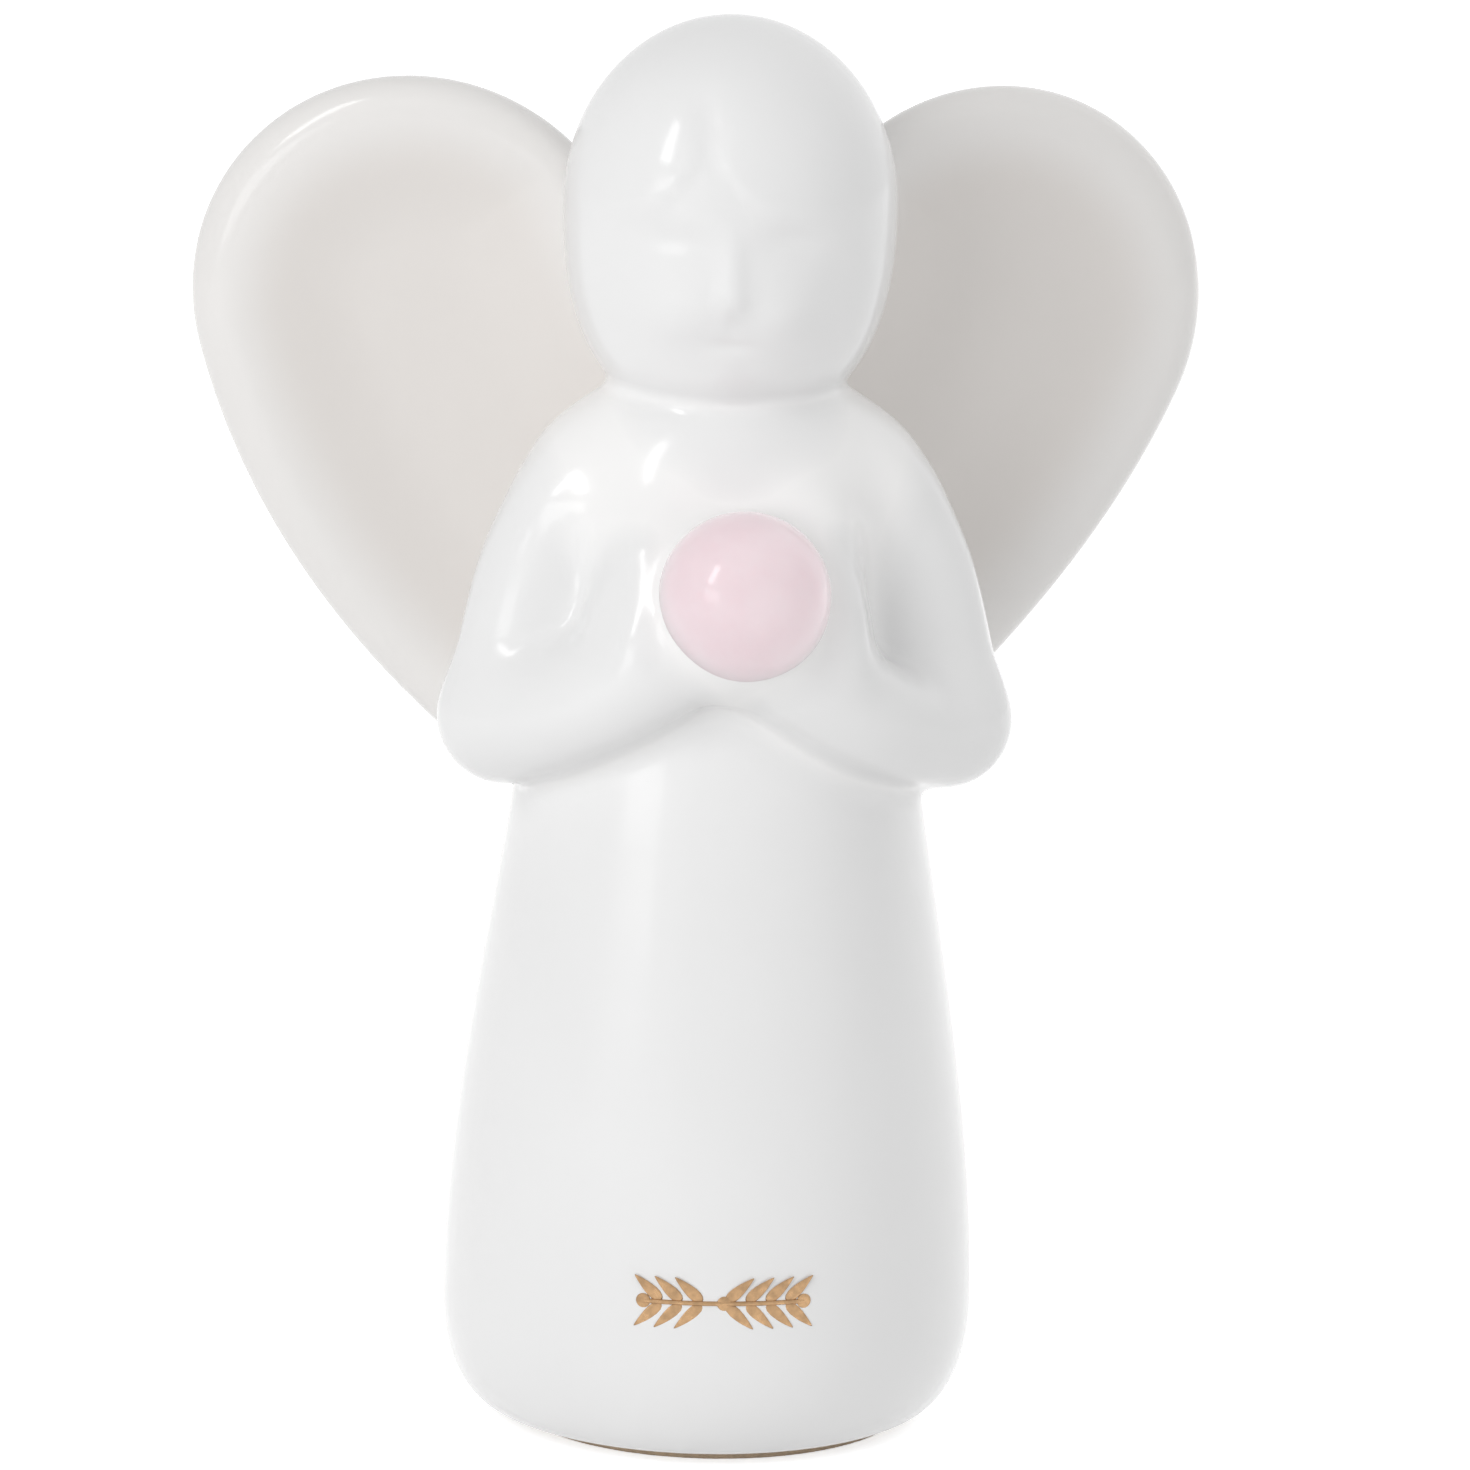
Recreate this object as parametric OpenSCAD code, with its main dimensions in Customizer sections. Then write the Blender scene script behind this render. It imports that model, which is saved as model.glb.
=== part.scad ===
// Angel figurine holding a polished stone, in millimetres, +Z up, front towards -Y.
// The origin is the centre of the underside of the base pad.

/* [Body] */
// Radius of the flat foot of the gown
foot_r = 15; // [10:0.1:25]
// Largest radius of the gown, near the hem
hem_r = 18.8; // [12:0.1:30]
// Height of the largest radius above the foot
hem_h = 7.6; // [3:0.1:15]
// Radius of the waist
waist_r = 14.6; // [9:0.1:25]
// Height of the waist above the foot
waist_h = 43; // [25:0.5:70]
// Radius of the chest at the height of the stone
chest_r = 10.4; // [8:0.1:18]
// Rise from the waist to the middle of the stone
chest_rise = 18; // [12:0.5:30]
// Radius of the neck where the head sits
neck_r = 7.4; // [4:0.1:10]
// Angle of the shoulders off the upright where they meet the neck
shoulder_fall = 45; // [20:1:60]
// Rise from the middle of the stone to the top of the neck
neck_rise = 12.5; // [9:0.1:22]

/* [Head] */
// Half width of the head
head_r = 11.65; // [8:0.1:18]
// Height of the head above its widest level
head_up = 13.1; // [8:0.1:20]
// Depth of the rounded lower half of the head below its widest level
head_down = 15.5; // [9:0.1:20]
// Fullness of the cheeks, 2 for a plain oval
cheek_power = 2.25; // [2:0.05:3]

/* [Arms] */
// Radius of the shoulder
shoulder_r = 4.4; // [2.5:0.1:7]
// Distance of the shoulder's middle outside the chest radius
shoulder_out = -0.4; // [-3:0.1:2]
// Rise of the shoulder's middle above the middle of the stone
shoulder_rise = 5.2; // [3:0.1:10]
// Set-back of the shoulder's middle behind the axis
shoulder_back = 0.5; // [-2:0.1:4]
// Radius of the upper arm
upper_r = 4.1; // [2:0.1:6]
// Distance of the upper arm's middle outside the chest radius
upper_out = 3.3; // [1:0.1:6]
// Height of the upper arm's middle below the middle of the stone
upper_drop = 0.8; // [-3:0.1:5]
// Distance of the upper arm's middle in front of the axis
upper_front = 1.2; // [-2:0.1:6]
// Radius of the elbow
elbow_r = 4.5; // [2.5:0.1:7]
// Distance of the elbow's middle outside the chest radius
elbow_out = 5; // [2:0.1:9]
// Height of the elbow's middle below the middle of the stone
elbow_drop = 10.8; // [7:0.1:16]
// Distance of the elbow's middle in front of the axis
elbow_front = 3.4; // [0:0.1:8]
// Radius of the forearm
forearm_r = 4; // [2:0.1:6]
// Height of the forearm's middle below the middle of the stone
forearm_drop = 9.7; // [6:0.1:14]
// Radius of the wrist
wrist_r = 3.4; // [1.5:0.1:5]
// Radius of the hand at the palm
palm_r = 2.6; // [1.2:0.1:4]
// Radius of the fingertips
fingertip_r = 1.8; // [0.8:0.1:3]
// Rise of the fingertips above the middle of the stone
fingertip_rise = 3.2; // [0:0.1:5]
// Thickness of the glue seam behind the arms and the wings
seam_t = 0.1; // [0.05:0.01:0.3]

/* [Wings] */
// Distance of the lobe's middle from the middle plane
lobe_x = 20.6; // [14:0.1:35]
// Rise of the lobe's middle above the middle of the stone
lobe_rise = 15.4; // [8:0.1:30]
// Radius of the lobe
lobe_r = 15.7; // [10:0.1:25]
// Depth of the wing's lower point below the middle of the stone
wing_point_drop = 27; // [18:0.5:40]
// Fullness of the lower edge, length of its first leg
wing_edge_leg = 20; // [10:0.5:30]
// Rise of the notch between the wings above the middle of the stone
notch_rise = 13; // [6:0.5:20]
// Thickness of the wing
wing_t = 4.4; // [2.5:0.1:7]
// Width of the rounded rim
rim_w = 3; // [1.5:0.1:5]
// Depth of the dished front of the wing
dish_d = 0.8; // [0.1:0.1:1.5]
// Rise of the crowned back of the wing
crown_d = 0.5; // [0.1:0.1:1.5]
// How far the wing's middle sheet lies inside the chest radius at the middle plane
wing_sink = 2; // [0.5:0.1:4]
// Angle by which each wing sweeps back
wing_sweep = 15.6; // [0:0.1:35]
// Angle by which each wing leans back
wing_lean = 3; // [-5:0.1:15]
// Least thickness of a wing where it passes behind the head
wing_thin = 1.6; // [0.8:0.1:3]

/* [Stone] */
// Diameter of the stone
stone_d = 12; // [8:0.1:20]
// Depth by which the stone is sunk in the chest
stone_sink = 2.2; // [0.5:0.1:4]
// Thickness of the adhesive bed behind the stone
bed_t = 0.3; // [0.1:0.05:0.8]
// Clearance between the stone and the hands
stone_clear = 0.3; // [0.1:0.05:1]

/* [Pins] */
// Diameter of the dowels
pin_d = 2; // [1:0.1:3]
// Clearance around and behind a dowel
pin_clear = 0.05; // [0:0.01:0.2]
// Length of a dowel in the body
pin_in = 4.5; // [2:0.1:6]
// Length of a dowel in a wing
wing_pin_out = 5; // [2:0.1:10]
// Depth of the upper wing dowels below the middle of the stone
wing_pin_upper = 4.5; // [3:0.1:7]
// Depth of the lower wing dowels below the middle of the stone
wing_pin_lower = 10; // [8:0.1:12]
// Length of a dowel in a shoulder
arm_pin_out = 4; // [2:0.1:6]
// Length of the neck dowel on each side of the joint
neck_pin_half = 6; // [3:0.1:10]
// Clearance between the head and the wings
head_clear = 0.3; // [0.1:0.05:1]

/* [Base] */
// Thickness of the base pad
pad_t = 0.8; // [0.4:0.1:3]
// Distance of the pad's edge inside the foot
pad_inset = 1.5; // [0:0.1:5]

/* [Hidden] */

$fn = 96;
// Points in the round of the hem
arc_n = 10;
// Points in each stretch of the gown's side
side_n = 10;
// Points in the outline of the head
head_n = 26;
// Sections between two stations of an arm, and points in each
arm_n = 5;
arm_sides = 20;
// Points in the round of an arm's ends
tip_n = 4;
// Rows up each wing, and points across its front, its back and its root
row_n = 40;
front_n = 14;
back_n = 10;
root_n = 3;

hem_z = pad_t + hem_h;
waist_z = pad_t + waist_h;
chest_z = waist_z + chest_rise;
neck_z = chest_z + neck_rise;
stone_r = stone_d / 2;
stone_y = -(chest_r + stone_r - stone_sink);
stone_at = [0, stone_y, chest_z];

// Slopes of the side: upright at the hem, then even through the waist, the chest and the neck
waist_slope = (chest_r - hem_r) / (chest_z - hem_z);
chest_slope = (neck_r - waist_r) / (neck_z - waist_z);
neck_slope = -tan(shoulder_fall);

// Smooth stretch from a to b with end slopes p and q over the length l
function smooth(t, l, a, b, p, q) =
    a * (2 * t ^ 3 - 3 * t ^ 2 + 1) + b * (3 * t ^ 2 - 2 * t ^ 3)
    + l * p * (t ^ 3 - 2 * t ^ 2 + t) + l * q * (t ^ 3 - t ^ 2);

// Radius of the body at the height z, from the hem to the neck
function body_r(z) =
    z < waist_z
    ? smooth((z - hem_z) / (waist_z - hem_z), waist_z - hem_z, hem_r, waist_r, 0, waist_slope)
    : z < chest_z
    ? smooth((z - waist_z) / chest_rise, chest_rise, waist_r, chest_r, waist_slope, chest_slope)
    : smooth((z - chest_z) / neck_rise, neck_rise, chest_r, neck_r, chest_slope, neck_slope);

// Heights along the side, from a to b in n steps, without a
function steps(a, b, n) = [for (i = [1:n]) a + (b - a) * i / n];

side_z = concat(
    steps(hem_z, waist_z, side_n),
    steps(waist_z, chest_z, side_n),
    steps(chest_z, neck_z, side_n));

hem_arc = [for (i = [0:arc_n]) let (a = 90 * i / arc_n)
    [foot_r + (hem_r - foot_r) * sin(a), hem_z - hem_h * cos(a)]];

// Point of the head's outline at the angle a, from its widest level
function head_at(a) =
    let (c = cos(a), s = sin(a), p = s < 0 ? 2 / cheek_power : 1)
    [head_r * abs(c) ^ p, s < 0 ? -head_down * abs(s) ^ p : head_up * s];
// Radius of the head at the height h above its widest level
function head_radius(h) =
    let (p = h < 0 ? cheek_power : 2, l = h < 0 ? head_down : head_up)
    head_r * max(0, 1 - (abs(h) / l) ^ p) ^ (1 / p);

// The lower half of the head is cut off level where it is as wide as the neck
head_cut = head_down * (1 - (neck_r / head_r) ^ cheek_power) ^ (1 / cheek_power);
head_z = neck_z + head_cut;
cut_angle = -acos((neck_r / head_r) ^ (cheek_power / 2));

// Stations of the arm on the +X side: place, then radius
arm_stations = [
    [chest_r + shoulder_out, shoulder_back, chest_z + shoulder_rise, shoulder_r],
    [chest_r + upper_out, -upper_front, chest_z - upper_drop, upper_r],
    [chest_r + elbow_out, -elbow_front, chest_z - elbow_drop, elbow_r],
    [chest_r + upper_out / 2, (stone_y - elbow_front) / 2, chest_z - forearm_drop, forearm_r],
    [stone_r + palm_r - stone_clear, stone_y + palm_r, chest_z - stone_r, wrist_r],
    [stone_r + palm_r - stone_clear, stone_y + stone_clear, chest_z - stone_r / 2, palm_r],
    [stone_r + fingertip_r - stone_clear, stone_y, chest_z + fingertip_rise, fingertip_r]];

// Point between stations b and c of a smooth line a, b, c, d
function through(a, b, c, d, t) =
    0.5 * (2 * b + (c - a) * t + (2 * a - 5 * b + 4 * c - d) * t ^ 2
    + (3 * b - a - 3 * c + d) * t ^ 3);

arm_last = len(arm_stations) - 1;
function station(i) = arm_stations[max(0, min(arm_last, i))];
arm_line = [
    for (i = [0:arm_last - 1]) for (k = [0:arm_n - 1])
        through(station(i - 1), station(i), station(i + 1), station(i + 2), k / arm_n),
    station(arm_last)];

function xyz(p) = [p[0], p[1], p[2]];
function unit(v) = v / norm(v);
arm_end = len(arm_line) - 1;
// The arm bends nearly in one plane, and this is across it
arm_across = unit(cross(
    xyz(station(2)) - xyz(station(0)),
    xyz(station(4)) - xyz(station(2))));
function arm_way(i) = unit(xyz(arm_line[min(arm_end, i + 1)]) - xyz(arm_line[max(0, i - 1)]));

// A point moved out to the glue seam on the body, or off the stone
function off_body(p) =
    let (d = norm([p[0], p[1]]), r = body_r(p[2]) + seam_t)
    d < r ? [p[0] * r / d, p[1] * r / d, p[2]] : p;
function off_stone(p) =
    let (v = p - stone_at, d = norm(v), r = stone_r + stone_clear)
    d < r ? stone_at + v * r / d : p;

// Ring of the arm around the point p, along the way w
function arm_ring(p, w, r) =
    let (b = unit(arm_across - (arm_across * w) * w), c = cross(w, b))
    [for (j = [0:arm_sides - 1]) let (a = 360 * j / arm_sides)
        off_stone(off_body(p + r * (cos(a) * b + sin(a) * c)))];

// Round end at the station i, on the side s of it
function arm_tip(i, s, k) =
    let (w = arm_way(i), a = 90 * k / tip_n, p = arm_line[i])
    arm_ring(xyz(p) + s * p[3] * sin(a) * w, w, p[3] * cos(a));

arm_rings = concat(
    [for (k = [tip_n - 1:-1:1]) arm_tip(0, -1, k)],
    [for (i = [0:arm_end]) arm_ring(xyz(arm_line[i]), arm_way(i), arm_line[i][3])],
    [for (k = [1:tip_n - 1]) arm_tip(arm_end, 1, k)]);
arm_poles = [
    off_body(xyz(arm_line[0]) - shoulder_r * arm_way(0)),
    off_stone(xyz(arm_line[arm_end]) + fingertip_r * arm_way(arm_end))];

// Middle sheet of the wing on the +X side
wing_y0 = chest_r - wing_sink;
wing_k = tan(wing_sweep);
function sheet_y0(z) = wing_y0 + (z - chest_z) * tan(wing_lean);
lobe_z = chest_z + lobe_rise;
notch_z = chest_z + notch_rise;
point_at = [seam_t, chest_z - wing_point_drop];
// Angles of the lobe where the inner and the lower edge start
lobe_inner = 135;
lobe_lower = -25;
function on_lobe(a) = [lobe_x + lobe_r * cos(a), lobe_z + lobe_r * sin(a)];
lower_start = on_lobe(lobe_lower);
lower_leg = lower_start + wing_edge_leg * [sin(lobe_lower), -cos(lobe_lower)];
inner_start = on_lobe(lobe_inner);

// Half width of the lobe at the height z
function lobe_half(z) = sqrt(max(0, lobe_r ^ 2 - (z - lobe_z) ^ 2));

// Outer edge of the wing at the height z: the lobe, then a bow to the point
function bow_t(z) =
    let (a = lower_start[1] - 2 * lower_leg[1] + point_at[1], b = 2 * (lower_leg[1] - lower_start[1]),
        c = lower_start[1] - z)
    2 * c / (-b + sqrt(max(0, b ^ 2 - 4 * a * c)));
function bow_x(t) = (1 - t) ^ 2 * lower_start[0] + 2 * t * (1 - t) * lower_leg[0] + t ^ 2 * point_at[0];
function outer_x(z) = z > lower_start[1] ? lobe_x + lobe_half(z) : bow_x(bow_t(z));

// Where the sheet, moved back by h, meets the glue seam on the body or the middle plane
function root_x(z, h) =
    let (y = sheet_y0(z) + h, r = body_r(min(z, neck_z)) + seam_t, a = 1 + wing_k ^ 2,
        d = (wing_k * y) ^ 2 - a * (y ^ 2 - r ^ 2))
    d < 0 ? seam_t : max(seam_t, (sqrt(d) - wing_k * y) / a);
// Inner edge above the notch: a bow to the lobe
function inner_x(z, h) =
    z < notch_z ? root_x(z, h)
    : z < inner_start[1] ? seam_t + (inner_start[0] - seam_t) * ((z - notch_z) / (inner_start[1] - notch_z)) ^ 0.6
    : lobe_x - lobe_half(z);

// Distance of a place on the sheet from the free edge
function edge_d(x, z) =
    min(z > lower_start[1] ? lobe_r - norm([max(0, x - lobe_x), z - lobe_z])
        : (outer_x(z) - x) * cos(lobe_lower),
        x - inner_x(z, 0) + max(0, notch_z - z),
        z > inner_start[1] ? lobe_r - norm([x - lobe_x, z - lobe_z]) : lobe_r);
function half_t(d) = wing_t / 2 * sqrt(max(0, 1 - (1 - max(0, min(1, d / rim_w))) ^ 2));
// Share of the dish and of the crown at a place: none on the rim, most at the lobe's middle
function bowl(x, z, d) =
    sin(90 * max(0, min(1, (d - rim_w) / rim_w)))
    / (1 + ((x - lobe_x) ^ 2 + (z - lobe_z) ^ 2) / lobe_r ^ 2);

// Back of the head at the place x, z, with its clearance
function head_back(x, z) = let (r = head_radius(z - head_z) + head_clear) sqrt(max(0, r ^ 2 - x ^ 2));
function front_y(x, z) =
    let (d = edge_d(x, z))
    max(sheet_y0(z) + wing_k * x - half_t(d) + dish_d * bowl(x, z, d), head_back(x, z));
function back_y(x, z) =
    let (d = edge_d(x, z))
    max(sheet_y0(z) + wing_k * x + half_t(d) + crown_d * bowl(x, z, d),
        head_back(x, z) + wing_thin * half_t(d) * 2 / wing_t);

// Lowest height of the wing, where its edge runs into the body
function meet_z(a, b, n) =
    let (m = (a + b) / 2)
    n == 0 ? b : outer_x(m) < root_x(m, -wing_t / 2) + seam_t ? meet_z(m, b, n - 1) : meet_z(a, m, n - 1);
wing_low = meet_z(point_at[1], lower_start[1], 12);
wing_high = lobe_z + lobe_r;

// Section of the wing at the height z: out along the front, back along the back, round the root
function wing_row(z) =
    let (o = outer_x(z), f = inner_x(z, dish_d - wing_t / 2), b = inner_x(z, wing_t / 2))
    concat(
        [for (i = [0:front_n]) let (x = f + (o - f) * sin(90 * i / front_n)) [x, front_y(x, z), z]],
        [for (i = [1:back_n]) let (x = b + (o - b) * cos(90 * i / back_n)) [x, back_y(x, z), z]],
        [for (i = [1:root_n]) let (t = i / (root_n + 1), y0 = back_y(b, z), y1 = front_y(f, z))
            [b + (f - b) * t, y0 + (y1 - y0) * t, z]]);
wing_rows = [for (i = [1:row_n - 1]) wing_row(
    wing_low + (wing_high - wing_low) * (1 - cos(180 * i / row_n)) / 2)];
wing_poles = [
    let (x = outer_x(wing_low)) [x, sheet_y0(wing_low) + wing_k * x, wing_low],
    [lobe_x, sheet_y0(wing_high) + wing_k * lobe_x, wing_high]];

pin_r = pin_d / 2;

// Closed skin over rings of n points, drawn together to a point at each end
module skin(rings, poles, n) {
    last = len(rings) - 1;
    low = len(rings) * n;
    high = low + 1;
    polyhedron(
        points = concat([for (r = rings) each r], poles),
        faces = concat(
            [for (i = [last - 1:-1:0]) for (j = [0:n - 1]) let (k = (j + 1) % n)
                [i * n + j, (i + 1) * n + k, i * n + k]],
            [for (i = [0:last - 1]) for (j = [0:n - 1]) let (k = (j + 1) % n)
                [i * n + j, (i + 1) * n + j, (i + 1) * n + k]],
            [for (j = [0:n - 1]) [low, j, (j + 1) % n]],
            [for (j = [0:n - 1]) [high, last * n + (j + 1) % n, last * n + j]]));
}

// Outer form of the gown, the torso and the neck
module body_form() {
    rotate_extrude()
        polygon(concat(
            [[0, pad_t]],
            hem_arc,
            [for (z = side_z) [body_r(z), z]],
            [[0, neck_z]]));
}

module head_form() {
    translate([0, 0, head_z])
        rotate_extrude()
            polygon(concat(
                [[0, -head_cut]],
                [for (i = [0:head_n - 1]) head_at(cut_angle + (90 - cut_angle) * i / head_n)],
                [[0, head_up]]));
}

module stone_form(g) {
    translate(stone_at)
        sphere(stone_r + g);
}

// Dowel along the sheet of the wing on the +X side, at the depth d below the stone, grown by g
module wing_pin(d, g) {
    z = chest_z - d;
    x = root_x(z, 0);
    translate([x, sheet_y0(z) + wing_k * x, z])
        rotate([0, 0, wing_sweep])
            rotate([0, 90, 0])
                translate([0, 0, -pin_in - g])
                    cylinder(h = pin_in + wing_pin_out + 2 * g, r = pin_r + g, $fn = 32);
}

// Dowel along X in the shoulder on the +X side, grown by g
module arm_pin(g) {
    z = chest_z + shoulder_rise;
    translate([body_r(z) - pin_in - g, shoulder_back, z])
        rotate([0, 90, 0])
            cylinder(h = pin_in + arm_pin_out + 2 * g, r = pin_r + g, $fn = 32);
}

module neck_dowel(g) {
    translate([0, 0, neck_z - neck_pin_half - g])
        cylinder(h = 2 * (neck_pin_half + g), r = pin_r + g, $fn = 32);
}

module both_sides() {
    children();
    mirror([1, 0, 0])
        children();
}

module arm() {
    difference() {
        skin(arm_rings, arm_poles, arm_sides);
        arm_pin(pin_clear);
    }
}

module wing() {
    difference() {
        skin(wing_rows, wing_poles, front_n + back_n + root_n + 1);
        wing_pin(wing_pin_upper, pin_clear);
        wing_pin(wing_pin_lower, pin_clear);
    }
}

module body() {
    color([0.96, 0.95, 0.93])
        difference() {
            body_form();
            stone_form(bed_t);
            both_sides() {
                wing_pin(wing_pin_upper, pin_clear);
                wing_pin(wing_pin_lower, pin_clear);
                arm_pin(pin_clear);
            }
            neck_dowel(pin_clear);
        }
}

module head() {
    color([0.97, 0.96, 0.94])
        difference() {
            head_form();
            neck_dowel(pin_clear);
        }
}

module right_arm() {
    color([0.96, 0.95, 0.93])
        mirror([1, 0, 0])
            arm();
}

module left_arm() {
    color([0.96, 0.95, 0.93])
        arm();
}

module right_wing() {
    color([0.93, 0.92, 0.9])
        mirror([1, 0, 0])
            wing();
}

module left_wing() {
    color([0.93, 0.92, 0.9])
        wing();
}

module stone() {
    color([0.93, 0.8, 0.83])
        stone_form(0);
}

module stone_bed() {
    color([0.85, 0.82, 0.7])
        difference() {
            intersection() {
                stone_form(bed_t);
                body_form();
            }
            stone_form(0);
        }
}

module wing_pins() {
    color([0.7, 0.7, 0.72])
        both_sides() {
            wing_pin(wing_pin_upper, 0);
            wing_pin(wing_pin_lower, 0);
        }
}

module arm_pins() {
    color([0.7, 0.7, 0.72])
        both_sides()
            arm_pin(0);
}

module neck_pin() {
    color([0.7, 0.7, 0.72])
        neck_dowel(0);
}

module base_pad() {
    color([0.68, 0.52, 0.36])
        cylinder(h = pad_t, r = foot_r - pad_inset);
}

body();
head();
right_arm();
left_arm();
right_wing();
left_wing();
stone();
stone_bed();
wing_pins();
arm_pins();
neck_pin();
base_pad();
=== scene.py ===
import math
from functools import lru_cache

import bpy
import numpy as np
from bpy.props import FloatProperty, FloatVectorProperty, IntProperty, PointerProperty
from mathutils import Matrix, Vector


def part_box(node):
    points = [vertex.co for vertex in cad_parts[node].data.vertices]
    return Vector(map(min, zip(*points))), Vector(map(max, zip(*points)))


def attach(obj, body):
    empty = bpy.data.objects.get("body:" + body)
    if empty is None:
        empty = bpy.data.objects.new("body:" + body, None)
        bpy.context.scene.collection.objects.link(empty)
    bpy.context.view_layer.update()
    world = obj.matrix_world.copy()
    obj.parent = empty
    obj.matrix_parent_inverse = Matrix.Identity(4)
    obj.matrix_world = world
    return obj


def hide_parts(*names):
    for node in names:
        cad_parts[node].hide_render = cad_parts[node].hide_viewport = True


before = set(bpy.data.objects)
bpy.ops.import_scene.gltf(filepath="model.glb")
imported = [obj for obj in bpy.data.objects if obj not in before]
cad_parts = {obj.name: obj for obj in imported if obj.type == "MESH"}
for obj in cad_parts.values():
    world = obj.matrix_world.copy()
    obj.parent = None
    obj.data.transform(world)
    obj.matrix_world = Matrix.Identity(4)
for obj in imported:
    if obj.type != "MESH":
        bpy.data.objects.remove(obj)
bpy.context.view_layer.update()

bl_info = {
    "name": "Angel Figurine",
    "version": (1, 0, 0),
    "blender": (4, 5, 0),
    "location": "View3D > Sidebar > Figurine",
    "description": "Shapes and finishes a glossy angel figurine around its solid frame",
    "category": "Object",
}

MM = 0.001
ROOT = "root"
BODY_LOW, BODY_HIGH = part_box("body")
HEAD_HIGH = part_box("head")[1]
STONE_LOW, STONE_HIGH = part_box("stone")
PAD_LOW, PAD_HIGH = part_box("base_pad")


def length(name, description, value):
    """A length property, given in millimetres."""
    return FloatProperty(name=name, description=description, default=value * MM,
                         subtype="DISTANCE", unit="LENGTH", precision=5)


def turn(name, description, degrees):
    """An angle property, given in degrees."""
    return FloatProperty(name=name, description=description,
                         default=math.radians(degrees), subtype="ANGLE", unit="ROTATION")


def factor(name, description, value):
    """A plain number property."""
    return FloatProperty(name=name, description=description, default=value, precision=3)


def colour(name, description, value):
    """A colour property."""
    return FloatVectorProperty(name=name, description=description, default=value,
                               subtype="COLOR", size=3, min=0.0, max=1.0)


class FigurineBodySizes(bpy.types.PropertyGroup):
    """Sizes of the gown, the torso and the head."""

    foot_radius: length("Foot radius", "Radius of the flat foot of the gown", 15)
    hem_radius: length("Hem radius", "Largest radius of the gown", BODY_HIGH.x / MM)
    hem_level: length("Hem level", "Height of the largest radius", 8.4)
    waist_radius: length("Waist radius", "Radius of the waist", 14.6)
    waist_level: length("Waist level", "Height of the waist", 43.8)
    chest_radius: length("Chest radius", "Radius of the chest", 10.4)
    neck_radius: length("Neck radius", "Radius of the neck", 7.4)
    shoulder_fall: turn("Shoulder fall", "Slope of the shoulders at the neck", 45)
    head_level: length("Head level", "Height of the head's widest ring", 87.0)
    head_below: length("Head below", "Depth of the head below its widest ring", 15.5)
    cheek_power: factor("Cheek power", "Fullness of the lower half of the head", 2.45)
    face_relief: factor("Face relief", "Strength of the soft face", 1.0)


class FigurineArmSizes(bpy.types.PropertyGroup):
    """Softness of the joins between the pieces."""

    shoulder_melt: length("Shoulder melt", "Softness of the join at the shoulders", 6)
    forearm_melt: length("Forearm melt", "Softness of the join under the forearms", 2.0)
    elbow_melt: length("Elbow melt", "Softness inside the bend of the elbow", 2.2)
    palm_melt: length("Palm melt", "Softness between the palm and the arm", 4.6)
    thumb_melt: length("Thumb melt", "Softness between the thumb and the palm", 2.6)
    cup_melt: length("Cup melt", "Softness of the seat around the stone", 3.4)
    neck_melt: length("Neck melt", "Softness of the crease under the chin", 1.2)
    wing_melt: length("Wing melt", "Softness of the join at the wings", 1.6)


class FigurineWingSizes(bpy.types.PropertyGroup):
    """Sizes of the wings."""

    lobe_out: length("Lobe out", "Distance of the lobe's middle from the middle plane", 20.6)
    lobe_level: length("Lobe level", "Height of the left lobe's middle", 77.1)
    lobe_lift: length("Lobe lift", "How much higher the right lobe stands", 0.5)
    lobe_radius: length("Lobe radius", "Radius of the lobe", 15.7)
    point_level: length("Point level", "Height of the heart's lower point", 34.8)
    left_leg: length("Left leg", "Fullness of the left wing's lower edge", 20)
    left_turn: turn("Left turn", "Angle on the lobe where the left wing's lower edge starts", -25)
    right_leg: length("Right leg", "Fullness of the right wing's lower edge", 25)
    right_turn: turn("Right turn", "Angle on the lobe where the right wing's lower edge starts", -15)
    notch_level: length("Notch level", "Height of the notch between the wings", 74.8)
    thickness: length("Thickness", "Thickness of the wing", 4.4)
    rim: length("Rim", "Width of the rounded rim", 3)
    dish: length("Dish", "Depth of the dished front", 1.6)
    crown: length("Crown", "Rise of the crowned back", 0.5)
    root_depth: length("Root depth", "Place of the wings behind the axis", 8.4)
    sweep: turn("Sweep", "Angle by which the wings sweep back", 15.6)
    lean: turn("Lean", "Angle by which the wings lean back", 3)
    valley: length("Valley", "Roundness of the valley between the wings", 3)


class FigurineTrimSizes(bpy.types.PropertyGroup):
    """Sizes of the gilding and the base pad."""

    sprig_level: length("Sprig level", "Height of the gilt sprig on the gown", 12.7)
    sprig_turn: turn("Sprig turn", "Place of the sprig around the gown", -2.5)
    leaf_step: length("Leaf step", "Distance between two pairs of leaves", 1.42)
    leaf_pairs: IntProperty(name="Leaf pairs", description="Pairs of leaves on the sprig",
                            default=7, min=2, max=24)
    leaf_length: length("Leaf length", "Length of one leaf", 2.6)
    leaf_width: length("Leaf width", "Width of one leaf", 0.95)
    leaf_rise: length("Leaf rise", "Thickness of the gilding", 0.07)
    leaf_tilt: turn("Leaf tilt", "Angle between a leaf and the stem", 42)
    stem_radius: length("Stem radius", "Radius of the stem", 0.17)
    bud_radius: length("Bud radius", "Radius of the buds", 0.52)
    pad_round: length("Pad round", "Roundness of the base pad's edge", 0.25)
    pad_spread: length("Pad spread", "How far the felt spreads past its cut", 0.45)
    pad_shift: length("Pad shift", "How far the felt is glued off the middle", 0.3)


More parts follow.
